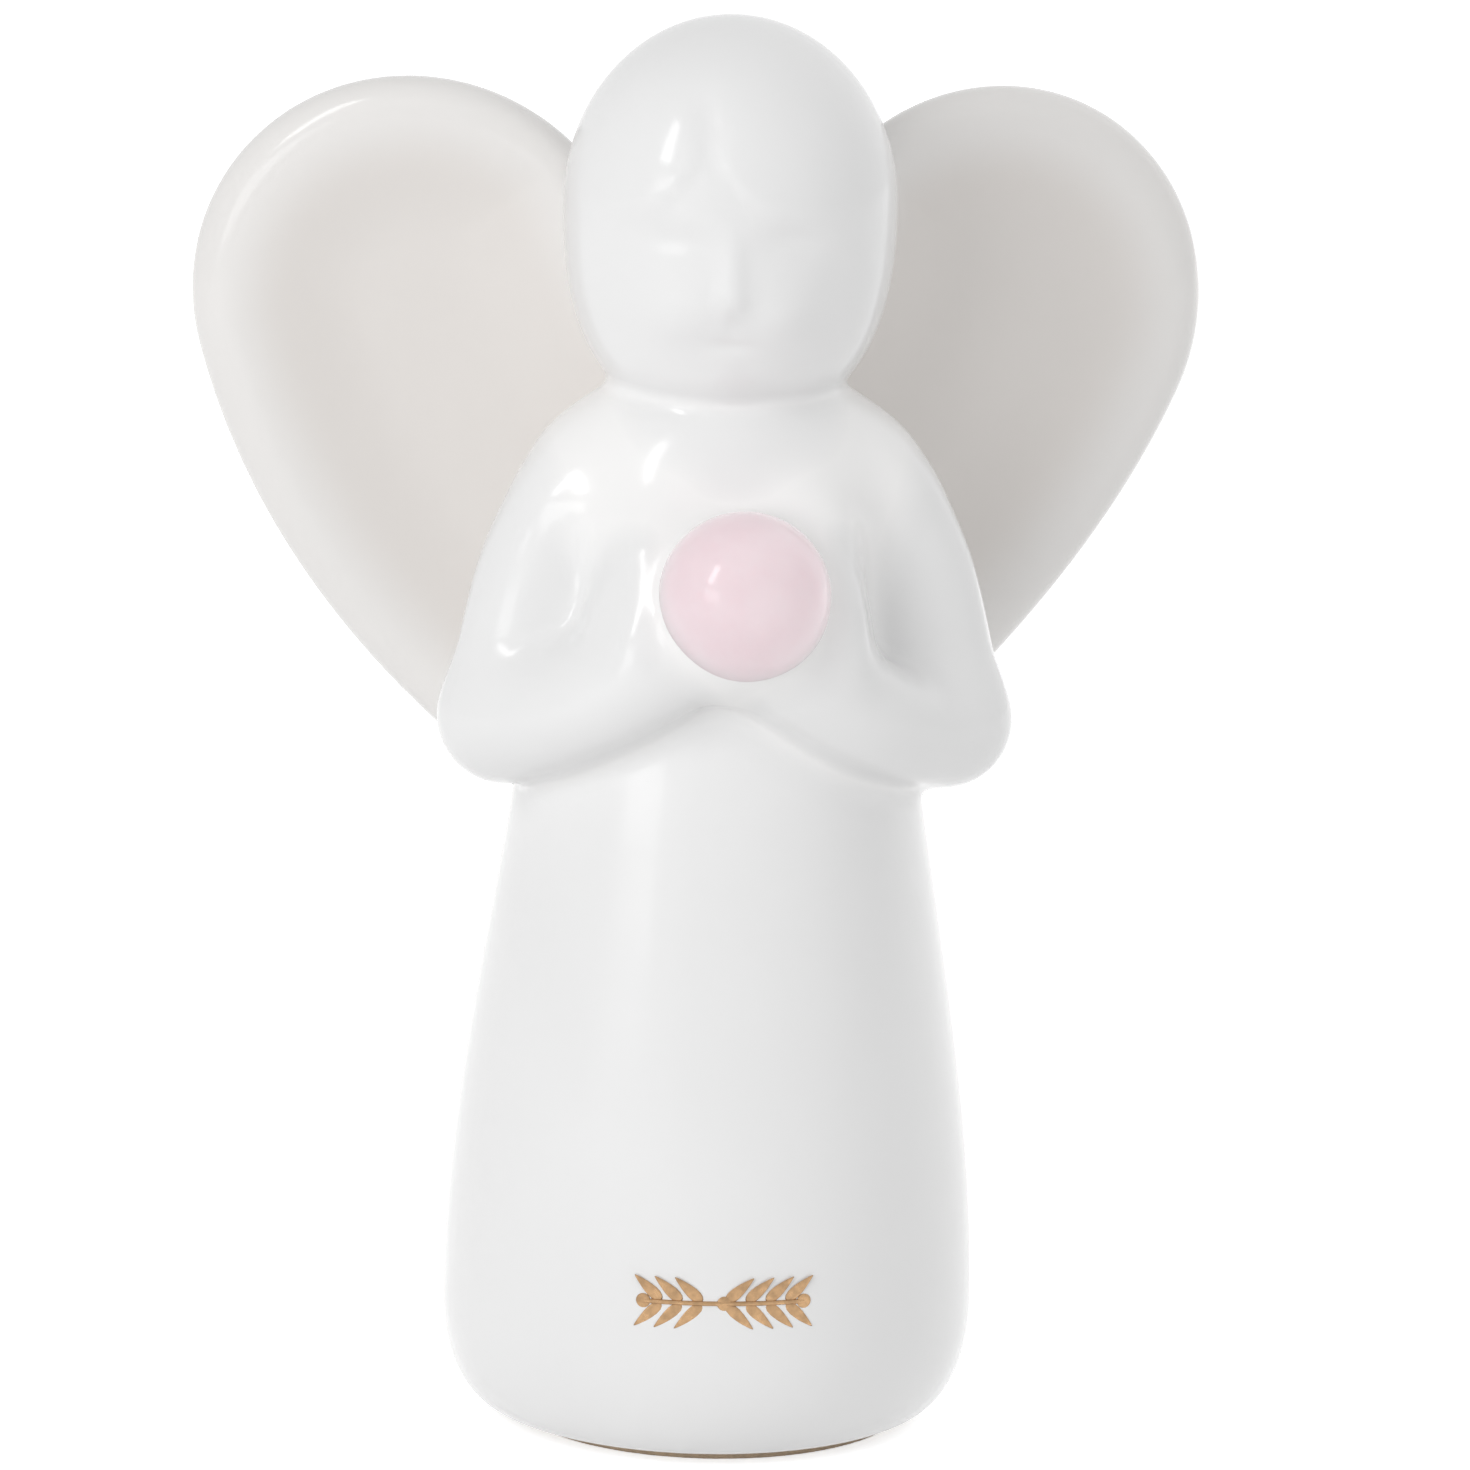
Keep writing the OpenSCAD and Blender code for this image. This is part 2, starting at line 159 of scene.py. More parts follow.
class FigurineFinishes(bpy.types.PropertyGroup):
    """Colours of the finishes."""

    white: colour("White gloss", "Lacquer of the figure", (0.87, 0.87, 0.87))
    # Painted light: a lighter colour in the creases that stands in for the light filling them.
    white_pool: colour("Pooled gloss", "Lacquer where it pools in the creases", (0.94, 0.935, 0.93))
    wing: colour("Wing gloss", "Lacquer of the wings", (0.84, 0.825, 0.81))
    # Wing dish: partly the dish's own warmer tone, partly painted shade in the dish and painted shade
    # in the creases of the wings.
    wing_pool: colour("Wing dish", "Lacquer in the wings' dish", (0.77, 0.735, 0.705))
    stone: colour("Stone", "Clear part of the stone", (0.62, 0.505, 0.535))
    stone_mist: colour("Mist", "Misty veils in the stone", (0.65, 0.555, 0.58))
    gilt: colour("Gilt", "Gold paint", (0.55, 0.345, 0.185))
    felt: colour("Felt", "Base pad", (0.72, 0.54, 0.37))
    steel: colour("Steel", "Dowels", (0.55, 0.55, 0.57))
    adhesive: colour("Adhesive", "Bed of the stone", (0.72, 0.68, 0.55))


class FigurineStage(bpy.types.PropertyGroup):
    """Camera and lamps."""

    azimuth: turn("Azimuth", "Camera angle around the figure", -6.5)
    elevation: turn("Elevation", "Camera angle above the floor", 12.5)
    roll: turn("Roll", "Turn of the picture", 1.3)
    distance: length("Distance", "Camera distance", 700)
    lens: factor("Lens", "Focal length in millimetres on a 36 mm sensor", 243.4)
    strip: factor("Strip", "Power of the narrow lamp on the left", 0.7)
    low: factor("Low", "Power of the low lamp on the left", 0.3)
    key: factor("Key", "Power of the large lamp on the left", 5.8)
    fill: factor("Fill", "Power of the large lamp on the right", 3.5)
    back: factor("Back", "Power of the large lamp behind the figure", 4.0)
    top: factor("Top", "Power of the lamp overhead", 0.75)
    ambient: factor("Ambient", "Light from all around", 0.34)


# Lines of each arm as places and radii in millimetres, in this order:
# upper arm, web to the chest, forearm, palm, thumb
ARMS = {
    "left_arm": (
        ((9.6, 0.0, 67.2, 4.0), (13.7, -2.0, 61.0, 3.7), (15.4, -3.8, 51.0, 4.3)),
        ((11.0, -2.4, 66.0, 2.6), (11.8, -2.7, 60.5, 2.5), (12.2, -3.3, 55.0, 2.7)),
        ((15.4, -3.8, 51.0, 4.3), (12.6, -7.6, 51.0, 3.8), (8.4, -10.8, 52.7, 3.8),
         (4.0, -12.8, 55.2, 3.2), (0.5, -13.2, 56.8, 2.5)),
        ((6.8, -10.4, 55.6, 3.0), (6.6, -10.0, 60.0, 2.6), (5.6, -8.8, 64.6, 2.0)),
        ((6.9, -13.0, 57.0, 1.5), (7.1, -13.4, 60.2, 1.2), (6.0, -11.0, 64.6, 1.0)),
    ),
    "right_arm": (
        ((-9.6, 0.0, 67.2, 4.0), (-13.7, -2.4, 61.0, 3.7), (-15.4, -4.0, 51.4, 4.3)),
        ((-11.0, -3.0, 66.0, 2.5), (-12.0, -3.3, 60.5, 2.5), (-12.4, -3.8, 55.0, 2.7)),
        ((-15.4, -4.0, 51.4, 4.3), (-12.6, -7.6, 52.2, 4.2), (-8.4, -11.0, 54.3, 3.7),
         (-4.2, -12.8, 56.6, 3.1), (-0.8, -12.9, 57.2, 2.6)),
        ((-7.8, -10.2, 56.0, 3.3), (-7.3, -9.9, 59.8, 2.9), (-6.0, -8.6, 64.4, 2.3)),
        ((-6.7, -12.8, 56.0, 1.6), (-7.0, -13.4, 58.8, 1.3), (-6.5, -11.2, 63.8, 1.0)),
    ),
}
LINE_STEPS = 5  # steps along a line between two stations
NEAR = 9.0  # millimetres past which a distance counts as far

# Soft forms of the face, in millimetres:
# place across and above the head's widest ring, half widths across and up, rise
FACE = (
    (0.0, -2.8, 0.95, 1.9, 0.32),  # bridge of the nose
    (0.0, -5.1, 1.25, 1.4, 0.50),  # tip of the nose
    (3.9, -1.3, 2.3, 1.4, -0.32),  # hollows of the eyes
    (3.9, -1.9, 1.6, 0.8, 0.14),  # lids
    (3.6, -6.6, 2.6, 2.0, 0.42),  # cheeks
    (0.0, -8.4, 1.6, 0.5, -0.09),  # mouth
    (0.0, -9.2, 1.4, 0.7, 0.05),  # lower lip
    (0.0, -11.6, 2.6, 1.6, 0.16),  # chin
)
FACE_MIDDLE = -1.0
FACE_SINK = 0.30  # depth of the face below the hair
FACE_EDGE = (-1.4, 1.8)  # below the hairline
FACE_CHIN = (-13.0, -7.0)  # above the head's widest ring
FACE_CHEEK = (-11.0, -6.5)  # out from the middle, negative
FACE_FRONT = (0.0, 6.0)  # in front of the axis
PARTING = -2.6  # place of the parting across the head
PARTING_HALF = 1.1
PARTING_FOOT = (3.0, 6.0)
PARTING_TOP = (-10.5, -6.5)
FRINGE = (1.7, 3.2, 2.2, 0.035)  # level, height and spread of the notch, fall to the sides

# Outline of a wing, seen from the front
LOBE_END = math.radians(135)
ARC_POINTS, BOW_POINTS, NOTCH_POINTS = 160, 120, 60
NOTCH_POWER = 0.6
EDGE_LOW, EDGE_HIGH, EDGE_STEP = (-3.0, 28.0), (41.0, 98.0), 0.25
BOWL_SPAN = (0.3, 4.2)  # rims inside the edge where the dish starts and is full
BOWL_FADE = 0.3
# The dish mask also sets where the painted dish shade starts and is full.
DISH_SPAN = (0.5, 2.5)  # rims inside the edge where the satin starts and is full
SIDES = (("left", 1), ("right", -1))

# How the pieces are netted, by kind: cell size, and room around the node's box, in millimetres
CELLS = {"body": 0.42, "head": 0.36, "arm": 0.28, "wing": 0.42}
REACH = {
    "body": (3.0, 3.0, 3.0),
    "head": (3.0, 3.0, 3.0),
    "arm": (11.0, 3.0, 6.0),
    "wing": (3.0, 3.0, 10.0),
}
COARSE = 3  # cells to a step of the first, rough pass
BAND = 4  # cells on either side of the skin that are read in full
# Room that each form leaves to the fillet at its border, in millimetres
FILLET = {"head": 1.2, "wing": 1.6, "left_arm": 2.6, "right_arm": 2.6}
SEAM_LAP = 0.8  # how far a piece runs on under its neighbour
DIVE = 0.4  # how fast it dives there
SETTLE_STEPS = 2
SETTLE_REACH = 0.7  # cells that a point may settle
SETTLE_CREASE = 0.02  # least angle term at a crease
SLOPE_STEP = 0.04
MELT_LEVELS = (56.0, 69.0)  # heights between which the join of the arms softens
SEAT_LAP = 0.6  # how far the stone sits in its seat
SEAT_LIP = 0.2
TINY, SPECK = 1e-6, 1e-9

# Tumbling waves of the stone, their start, and their height as a share of the radius
STONE_WAVES = (((3.1, 1.7, -2.2), 0.4), ((-1.9, 3.6, 1.4), 1.9), ((2.3, -2.6, 3.3), 3.1))
STONE_UNEVEN = 0.0012

PAD_SIDES = 192
PAD_BENDS = 5
PAD_RINGS = (0.3, 0.6, 0.85)
PAD_RAGGED = 0.004
PAD_SEED = 11

# Lamps: name, place, width and height in metres, and whether the gloss mirrors them
LAMPS = (
    ("strip", (-0.62, -0.40, 0.58), 0.13, 0.36, True),
    ("low", (-0.60, -0.52, 0.19), 0.30, 0.20, True),
    ("key", (-0.78, -0.80, 0.40), 0.9, 0.9, False),
    ("fill", (0.95, -0.55, 0.45), 1.1, 1.1, False),
    ("back", (0.75, 0.75, 0.6), 0.9, 0.9, False),
    ("top", (0.0, -0.1, 0.95), 0.7, 0.7, False),
)
LAMP_AIM = (0.0, 0.0, 0.055)
FLOOR_HALF = 1.3
FLOOR_SHADE = (0.85, 0.85, 0.85, 1.0)
FLOOR_GLOW = 0.62
WHITE = (1.0, 1.0, 1.0, 1.0)
CAMERA_AIM = (0.0, 0.0, 0.05)
CAMERA_OFFSET = (0.00113, -0.00099)  # to the right and up in the picture
SENSOR = 36.0
CLIP = (0.01, 20.0)


def smooth_min(a, b, melt):
    """Lesser of two distances, with a fillet."""
    near = np.maximum(melt - np.abs(a - b), 0.0)
    return np.minimum(a, b) - near * near / (4.0 * melt)


def ramp(value, low, high):
    """Smooth step from 0 at low to 1 at high."""
    t = np.clip((value - low) / (high - low), 0.0, 1.0)
    return t ** 3 * (6.0 * t * t - 15.0 * t + 10.0)


class Tube:
    """Round tube that tapers along a smooth line through stations of places and radii."""

    def __init__(self, stations):
        rows = np.array(stations, float)
        ends = np.vstack([rows[:1], rows, rows[-1:]])
        a, b, c, d = ends[:-3], ends[1:-2], ends[2:-1], ends[3:]
        self.terms = np.stack([2 * b, c - a, 2 * a - 5 * b + 4 * c - d, 3 * b - a - 3 * c + d]) / 2
        self.last = len(rows) - 1
        self.steps = np.arange(self.last * LINE_STEPS + 1) / LINE_STEPS
        self.line = self.at(self.steps)
        self.low = (self.line[:, :3] - self.line[:, 3:]).min(0)
        self.high = (self.line[:, :3] + self.line[:, 3:]).max(0)

    def at(self, s):
        """Place and radius along the line."""
        span = np.clip(s.astype(int), 0, self.last - 1)
        t = (s - span)[:, None]
        a, b, c, d = self.terms[:, span]
        return a + t * (b + t * (c + t * d))

    def gap(self, p, s):
        """Distance to the round of the tube at one place on its line."""
        here = self.at(s)
        return np.sqrt(((p - here[:, :3]) ** 2).sum(1)) - here[:, 3]

    def __call__(self, p):
        """Distance to the tube, and NEAR everywhere beyond it."""
        out = np.full(len(p), NEAR)
        near = (np.maximum(np.maximum(self.low - p, p - self.high), 0.0) ** 2).sum(1) < NEAR ** 2
        p = p[near]
        best, s = np.full(len(p), np.inf), np.zeros(len(p))
        for step, (x, y, z, r) in zip(self.steps, self.line):
            gap = np.sqrt((p[:, 0] - x) ** 2 + (p[:, 1] - y) ** 2 + (p[:, 2] - z) ** 2) - r
            closer = gap < best
            best[closer], s[closer] = gap[closer], step
        for reach in (1 / LINE_STEPS, 0.2 / LINE_STEPS):
            s = np.clip(s, reach, self.last - reach)
            less, here, more = (self.gap(p, s + k * reach) for k in (-1, 0, 1))
            bend = np.maximum(less - 2 * here + more, SPECK)
            s = np.clip(s + reach * np.clip((less - more) / (2 * bend), -1.5, 1.5), 0.0, self.last)
        out[near] = np.minimum(self.gap(p, s), NEAR)
        return out


class EdgeTable:
    """Distance inside a closed outline, read smoothly from a grid."""

    def __init__(self, outline, low, high, step):
        self.low, self.step = np.array(low, float), step
        counts = np.ceil((np.array(high) - low) / step).astype(int) + 1
        x, z = np.meshgrid(*(low[i] + step * np.arange(counts[i]) for i in (0, 1)), indexing="ij")
        best = np.full(x.shape, np.inf)
        inside = np.zeros(x.shape, bool)
        for (ax, az), (bx, bz) in zip(outline, np.roll(outline, -1, 0)):
            dx, dz = bx - ax, bz - az
            t = np.clip(((x - ax) * dx + (z - az) * dz) / max(dx * dx + dz * dz, 1e-12), 0.0, 1.0)
            np.minimum(best, (x - ax - t * dx) ** 2 + (z - az - t * dz) ** 2, out=best)
            if az != bz:
                inside ^= ((az > z) != (bz > z)) & (x < ax + dx * (z - az) / dz)
        self.grid = np.where(inside, 1.0, -1.0) * np.sqrt(best)

    def __call__(self, x, z):
        """Distance inside the outline, by cubic weights of the grid points around."""
        at = [(np.asarray(v) - self.low[i]) / self.step for i, v in enumerate((x, z))]
        at = [np.clip(v, 1.0, n - 2.001) for v, n in zip(at, self.grid.shape)]
        cell = [v.astype(int) for v in at]
        weights = []
        for v, c in zip(at, cell):
            t = v - c
            weights.append((-0.5 * t + t ** 2 - 0.5 * t ** 3, 1 - 2.5 * t ** 2 + 1.5 * t ** 3,
                            0.5 * t + 2 * t ** 2 - 1.5 * t ** 3, -0.5 * t ** 2 + 0.5 * t ** 3))
        return sum(weights[0][i] * weights[1][j] * self.grid[cell[0] + i - 1, cell[1] + j - 1]
                   for i in range(4) for j in range(4))


@lru_cache
def edge_table(lobe_out, lobe_level, lobe_radius, point_level, notch_level, edge_leg, lower):
    """Distances inside the outline of a heart with two like wings, seen from the front."""
    arc = [(lobe_out + lobe_radius * math.cos(a), lobe_level + lobe_radius * math.sin(a))
           for a in np.linspace(lower, LOBE_END, ARC_POINTS)]
    start, end, top = np.array(arc[0]), np.array((0.0, point_level)), arc[-1]
    leg = start + edge_leg * np.array((math.sin(lower), -math.cos(lower)))
    bow = [(1 - t) ** 2 * end + 2 * t * (1 - t) * leg + t * t * start
           for t in np.linspace(0, 1, BOW_POINTS)[:-1]]
    levels = np.linspace(top[1], notch_level, NOTCH_POINTS)[1:]
    share = (levels - notch_level) / (top[1] - notch_level)
    half = np.vstack([bow, arc, np.column_stack([top[0] * share ** NOTCH_POWER, levels])])
    outline = np.vstack([half, (half * (-1, 1))[-2:0:-1]])
    return EdgeTable(outline, EDGE_LOW, EDGE_HIGH, EDGE_STEP)


class FigureForm:
    """Soft forms of the figure as distances in millimetres, negative inside."""

    def __init__(self, scene):
        body, arms, wings = scene.figurine_body, scene.figurine_arms, scene.figurine_wings
        self.foot = body.foot_radius / MM
        self.foot_level = BODY_LOW.z / MM
        self.hem = body.hem_radius / MM
        self.hem_level = body.hem_level / MM
        self.neck_level = BODY_HIGH.z / MM
        self.neck_slope = -math.tan(body.shoulder_fall)
        self.stone = np.array((STONE_LOW + STONE_HIGH) / 2) / MM
        self.stone_radius = (STONE_HIGH.z - STONE_LOW.z) / 2 / MM
        waist, waist_level = body.waist_radius / MM, body.waist_level / MM
        chest, chest_level = body.chest_radius / MM, self.stone[2]
        self.neck = body.neck_radius / MM
        waist_slope = (chest - self.hem) / (chest_level - self.hem_level)
        chest_slope = (self.neck - waist) / (self.neck_level - waist_level)
        self.stretches = (
            (self.hem_level, waist_level, self.hem, waist, 0.0, waist_slope),
            (waist_level, chest_level, waist, chest, waist_slope, chest_slope),
            (chest_level, self.neck_level, chest, self.neck, chest_slope, self.neck_slope),
        )
        self.head_radius = HEAD_HIGH.x / MM
        self.head_level = body.head_level / MM
        self.head_above = HEAD_HIGH.z / MM - self.head_level
        self.head_below = body.head_below / MM
        self.cheek_power = body.cheek_power
        self.face_relief = body.face_relief
        self.tubes = {name: [Tube(line) for line in lines] for name, lines in ARMS.items()}
        self.melts = {name: getattr(arms, name + "_melt") / MM for name in (
            "shoulder", "forearm", "elbow", "palm", "thumb", "neck", "wing", "cup")}
        self.wing_sizes = {name: getattr(wings, name) / MM for name in (
            "lobe_out", "lobe_level", "lobe_radius", "point_level", "notch_level",
            "thickness", "rim", "dish", "crown", "root_depth", "valley")}
        self.sweep, self.lean = math.tan(wings.sweep), math.tan(wings.lean)
        w = self.wing_sizes
        lower_edges = (
            (wings.lobe_lift, wings.right_leg, wings.right_turn),
            (0.0, wings.left_leg, wings.left_turn),
        )
        self.edges = [
            edge_table(w["lobe_out"], w["lobe_level"] + lift / MM, w["lobe_radius"],
                       w["point_level"], w["notch_level"], leg / MM, lower)
            for lift, leg, lower in lower_edges
        ]

    def edge(self, p):
        """Distance inside the outline of the wing on the point's own side."""
        out = np.empty(len(p))
        for table, pick in zip(self.edges, (p[:, 0] < 0, p[:, 0] >= 0)):
            out[pick] = table(np.abs(p[pick, 0]), p[pick, 2])
        return out

    def body_radius(self, z):
        """Radius of the body and its slope at each height."""
        radius = self.neck + self.neck_slope * (z - self.neck_level)
        slope = np.full_like(z, self.neck_slope)
        for z0, z1, a, b, p, q in self.stretches:
            pick = (z >= z0) & (z < z1)
            t, span = (z[pick] - z0) / (z1 - z0), z1 - z0
            radius[pick] = (a * (2 * t ** 3 - 3 * t ** 2 + 1) + b * (3 * t ** 2 - 2 * t ** 3)
                            + span * p * (t ** 3 - 2 * t ** 2 + t) + span * q * (t ** 3 - t ** 2))
            slope[pick] = ((a - b) / span * (6 * t ** 2 - 6 * t)
                           + p * (3 * t ** 2 - 4 * t + 1) + q * (3 * t ** 2 - 2 * t))
        return radius, slope

    def body(self, p):
        """Distance to the gown and the torso."""
        rho, z = np.hypot(p[:, 0], p[:, 1]), p[:, 2]
        radius, slope = self.body_radius(z)
        side = (rho - radius) / np.sqrt(1 + slope ** 2)
        across, up = self.hem - self.foot, self.hem_level - self.foot_level
        qx = np.maximum(rho - self.foot, 0.0) / across
        qz = (self.hem_level - z) / up
        f = np.maximum(np.hypot(qx, qz), TINY)
        hem = (f - 1) / np.maximum(np.hypot(qx / across, qz / up) / f, TINY)
        return np.where(z < self.hem_level, hem, side)

    def head(self, p):
        """Distance to the head with its face."""
        rho, h = np.hypot(p[:, 0], p[:, 1]), p[:, 2] - self.head_level
        power = np.where(h < 0, self.cheek_power, 2.0)
        tall = np.where(h < 0, self.head_below, self.head_above)
        u, v = rho / self.head_radius + SPECK, np.abs(h) / tall + SPECK
        f = (u ** power + v ** power) ** (1 / power)
        rise = f ** (1 - power) * np.hypot(u ** (power - 1) / self.head_radius,
                                           v ** (power - 1) / tall)
        return (f - 1) / np.maximum(rise, TINY) - self.face_relief * self.face(p, h)

    @staticmethod
    def face(p, h):
        """Rise of the soft face and of the hair around it."""
        off = p[:, 0] - PARTING
        level, notch, spread, fall = FRINGE
        hairline = level + notch * np.exp(-(off / spread) ** 2) - fall * off ** 2
        side = np.abs(p[:, 0] - FACE_MIDDLE)
        inside = ramp(hairline - h, *FACE_EDGE) * ramp(h, *FACE_CHIN) * ramp(-side, *FACE_CHEEK)
        relief = -FACE_SINK * inside
        groove = np.exp(-(off / PARTING_HALF) ** 2)
        relief -= FACE_SINK * groove * ramp(h, *PARTING_FOOT) * ramp(-h, *PARTING_TOP)
        for x, z, half_x, half_z, amount in FACE:
            relief += amount * np.exp(-((side - x) / half_x) ** 2 - ((h - z) / half_z) ** 2)
        return relief * ramp(-p[:, 1], *FACE_FRONT)

    def arm(self, p, name):
        """Distance to one arm with its hand."""
        upper, web, fore, palm, thumb = (tube(p) for tube in self.tubes[name])
        whole = smooth_min(smooth_min(upper, web, self.melts["palm"]), palm, self.melts["palm"])
        return smooth_min(smooth_min(whole, fore, self.melts["elbow"]), thumb, self.melts["thumb"])

    def wing(self, p):
        """Both wings, and only a rough distance far from their sheet."""
        w = self.wing_sizes
        sheet = (w["root_depth"] + self.sweep * np.hypot(p[:, 0], w["valley"])
                 + self.lean * (p[:, 2] - self.stone[2]))
        out = np.abs(p[:, 1] - sheet)
        near = out < NEAR
        p, sheet = p[near], sheet[near]
        edge = self.edge(p)
        far = (np.abs(p[:, 0]) - w["lobe_out"]) ** 2 + (p[:, 2] - w["lobe_level"]) ** 2
        bowl = ramp(edge, *(k * w["rim"] for k in BOWL_SPAN))
        bowl = bowl / (1 + BOWL_FADE * far / w["lobe_radius"] ** 2)
        off = p[:, 1] - sheet
        half = w["thickness"] / 2 + np.where(off < 0, -w["dish"], w["crown"]) * bowl
        q0 = np.maximum(w["rim"] - edge, 0.0) / w["rim"]
        q1 = off / half
        f = np.maximum(np.sqrt(q0 ** 3 + q1 ** 2), TINY)
        rise = np.hypot(1.5 * q0 ** 2 / w["rim"], q1 / half) / f
        out[near] = (f - 1) / np.maximum(rise, TINY) * math.cos(math.atan(self.sweep))
        return out

    def parts(self, p):
        """Distances to the plain forms, before any fillet."""
        return {"body": self.body(p), "head": self.head(p), "wing": self.wing(p),
                **{name: self.arm(p, name) for name in ARMS}}

    def fuse(self, p, d):
        """The whole figure with its fillets and the seat of the stone."""
        m = self.melts
        melt = m["forearm"] + (m["shoulder"] - m["forearm"]) * ramp(p[:, 2], *MELT_LEVELS)
        arms = smooth_min(*(d[name] for name in ARMS), m["elbow"])
        whole = smooth_min(d["body"], arms, melt)
        whole = smooth_min(whole, d["head"], m["neck"])
        whole = smooth_min(whole, d["wing"], m["wing"])
        stone = np.linalg.norm(p - self.stone, axis=1) - self.stone_radius
        whole = smooth_min(whole, stone + SEAT_LAP + SEAT_LIP, m["cup"])
        return np.maximum(whole, -stone - SEAT_LAP)

    def fields(self, p, piece, side):
        """Distances to the skin of the whole figure and past one piece's border to its neighbours."""
        d = self.parts(p)
        own = {name: v - FILLET.get(name, 0.0) for name, v in d.items()}
        others = np.minimum.reduce([v for name, v in own.items() if name != piece])
        border = (own[piece] - others) / 2
        if side:
            border = np.maximum(border, -side * p[:, 0])
        return self.fuse(p, d), border

    def pool(self, p):
        """How deep the fillets fill the creases; it masks the painted crease light on the white
        lacquer and the painted crease shade on the wing lacquer.
        """
        d = self.parts(p)
        return np.clip(np.minimum.reduce(list(d.values())) - self.fuse(p, d), 0.0, 1.0)


def joined(marked, start):
    """Marked points of a grid that hang together with one of them."""
    found = np.zeros(marked.size, bool)
    steps = np.cumprod((1, *marked.shape[:0:-1]))
    flat, front = marked.ravel(), np.array([start])
    while len(front):
        found[front] = True
        near = np.concatenate([front + way * step for step in steps for way in (1, -1)])
        near = near[(near >= 0) & (near < flat.size)]
        front = np.unique(near[flat[near] & ~found[near]])
    return found.reshape(marked.shape)


def main_part(field):
    """Grid points inside a form, without stray bits and bubbles."""
    inside = field < 0
    if any(inside.take((0, -1), axis).any() for axis in range(3)):
        raise RuntimeError("a piece reaches past its grid")
    return ~joined(~joined(inside, field.argmin()), 0)


def net_surface(outer, border, low, cell):
    """Vertices, quads, and which of them lie on the outer skin and on its border."""
    field = np.maximum(outer, border)
    inside = main_part(field)
    counts = np.array(field.shape) - 1
    total, hits = np.zeros((*counts, 3)), np.zeros(counts)
    on_outer, on_border = np.zeros(counts, bool), np.zeros(counts, bool)
    index = np.full(counts, -1)
    crossings = []
    for axis in range(3):
        first = tuple(slice(0, -1) if a == axis else slice(None) for a in range(3))
        second = tuple(slice(1, None) if a == axis else slice(None) for a in range(3))
        cross = inside[first] != inside[second]
        gap = np.where(cross, field[first] - field[second], 1.0)
        t = np.where(cross, field[first] / gap, 0.0)
        skin = (outer[first] + t * (outer[second] - outer[first])
                >= border[first] + t * (border[second] - border[first]))
        crossings.append((cross, skin, inside[first]))
        ticks = (np.arange(n, dtype=float) for n in cross.shape)
        place = np.stack(np.meshgrid(*ticks, indexing="ij"), -1)
        place[..., axis] += t
        b, c = (axis + 1) % 3, (axis + 2) % 3
        for db in (0, 1):
            for dc in (0, 1):
                cut = [slice(None)] * 3
                cut[b], cut[c] = slice(db, db + counts[b]), slice(dc, dc + counts[c])
                cut = tuple(cut)
                total += place[cut] * cross[cut][..., None]
                hits += cross[cut]
                on_outer |= cross[cut] & skin[cut]
                on_border |= cross[cut] & ~skin[cut]
    active = hits > 0
    index[active] = np.arange(active.sum())
    points = low + cell * (total[active] / hits[active][:, None])
    quads, kinds = [], []
    for axis, (cross, skin, start_inside) in enumerate(crossings):
        b, c = (axis + 1) % 3, (axis + 2) % 3
        at = np.argwhere(cross)
        at = at[(at[:, b] > 0) & (at[:, c] > 0) & (at[:, b] < counts[b]) & (at[:, c] < counts[c])]
        corners = []
        for db, dc in ((-1, -1), (0, -1), (0, 0), (-1, 0)):
            q = at.copy()
            q[:, b] += db
            q[:, c] += dc
            corners.append(index[tuple(q.T)])
        ring = np.stack(corners, 1)
        flip = ~start_inside[tuple(at.T)]
        ring[flip] = ring[flip][:, ::-1]
        quads.append(ring)
        kinds.append(skin[tuple(at.T)])
    return points, np.vstack(quads), np.concatenate(kinds), on_outer[active], on_border[active]


def slopes(read, p):
    """Values of two fields at each point, and their gradients."""
    rows = read(np.vstack([p + s * SLOPE_STEP * np.eye(3)[a] for a in range(3) for s in (1, -1)]))
    rows = [v.reshape(3, 2, len(p)) for v in rows]
    values = [v.mean((0, 1)) for v in rows]
    return values + [(v[:, 0] - v[:, 1]).T / (2 * SLOPE_STEP) for v in rows]


def dive(whole, border):
    """Skin of a piece, which dives under its neighbours past the border."""
    return whole + DIVE * np.maximum(border, 0.0) ** 2


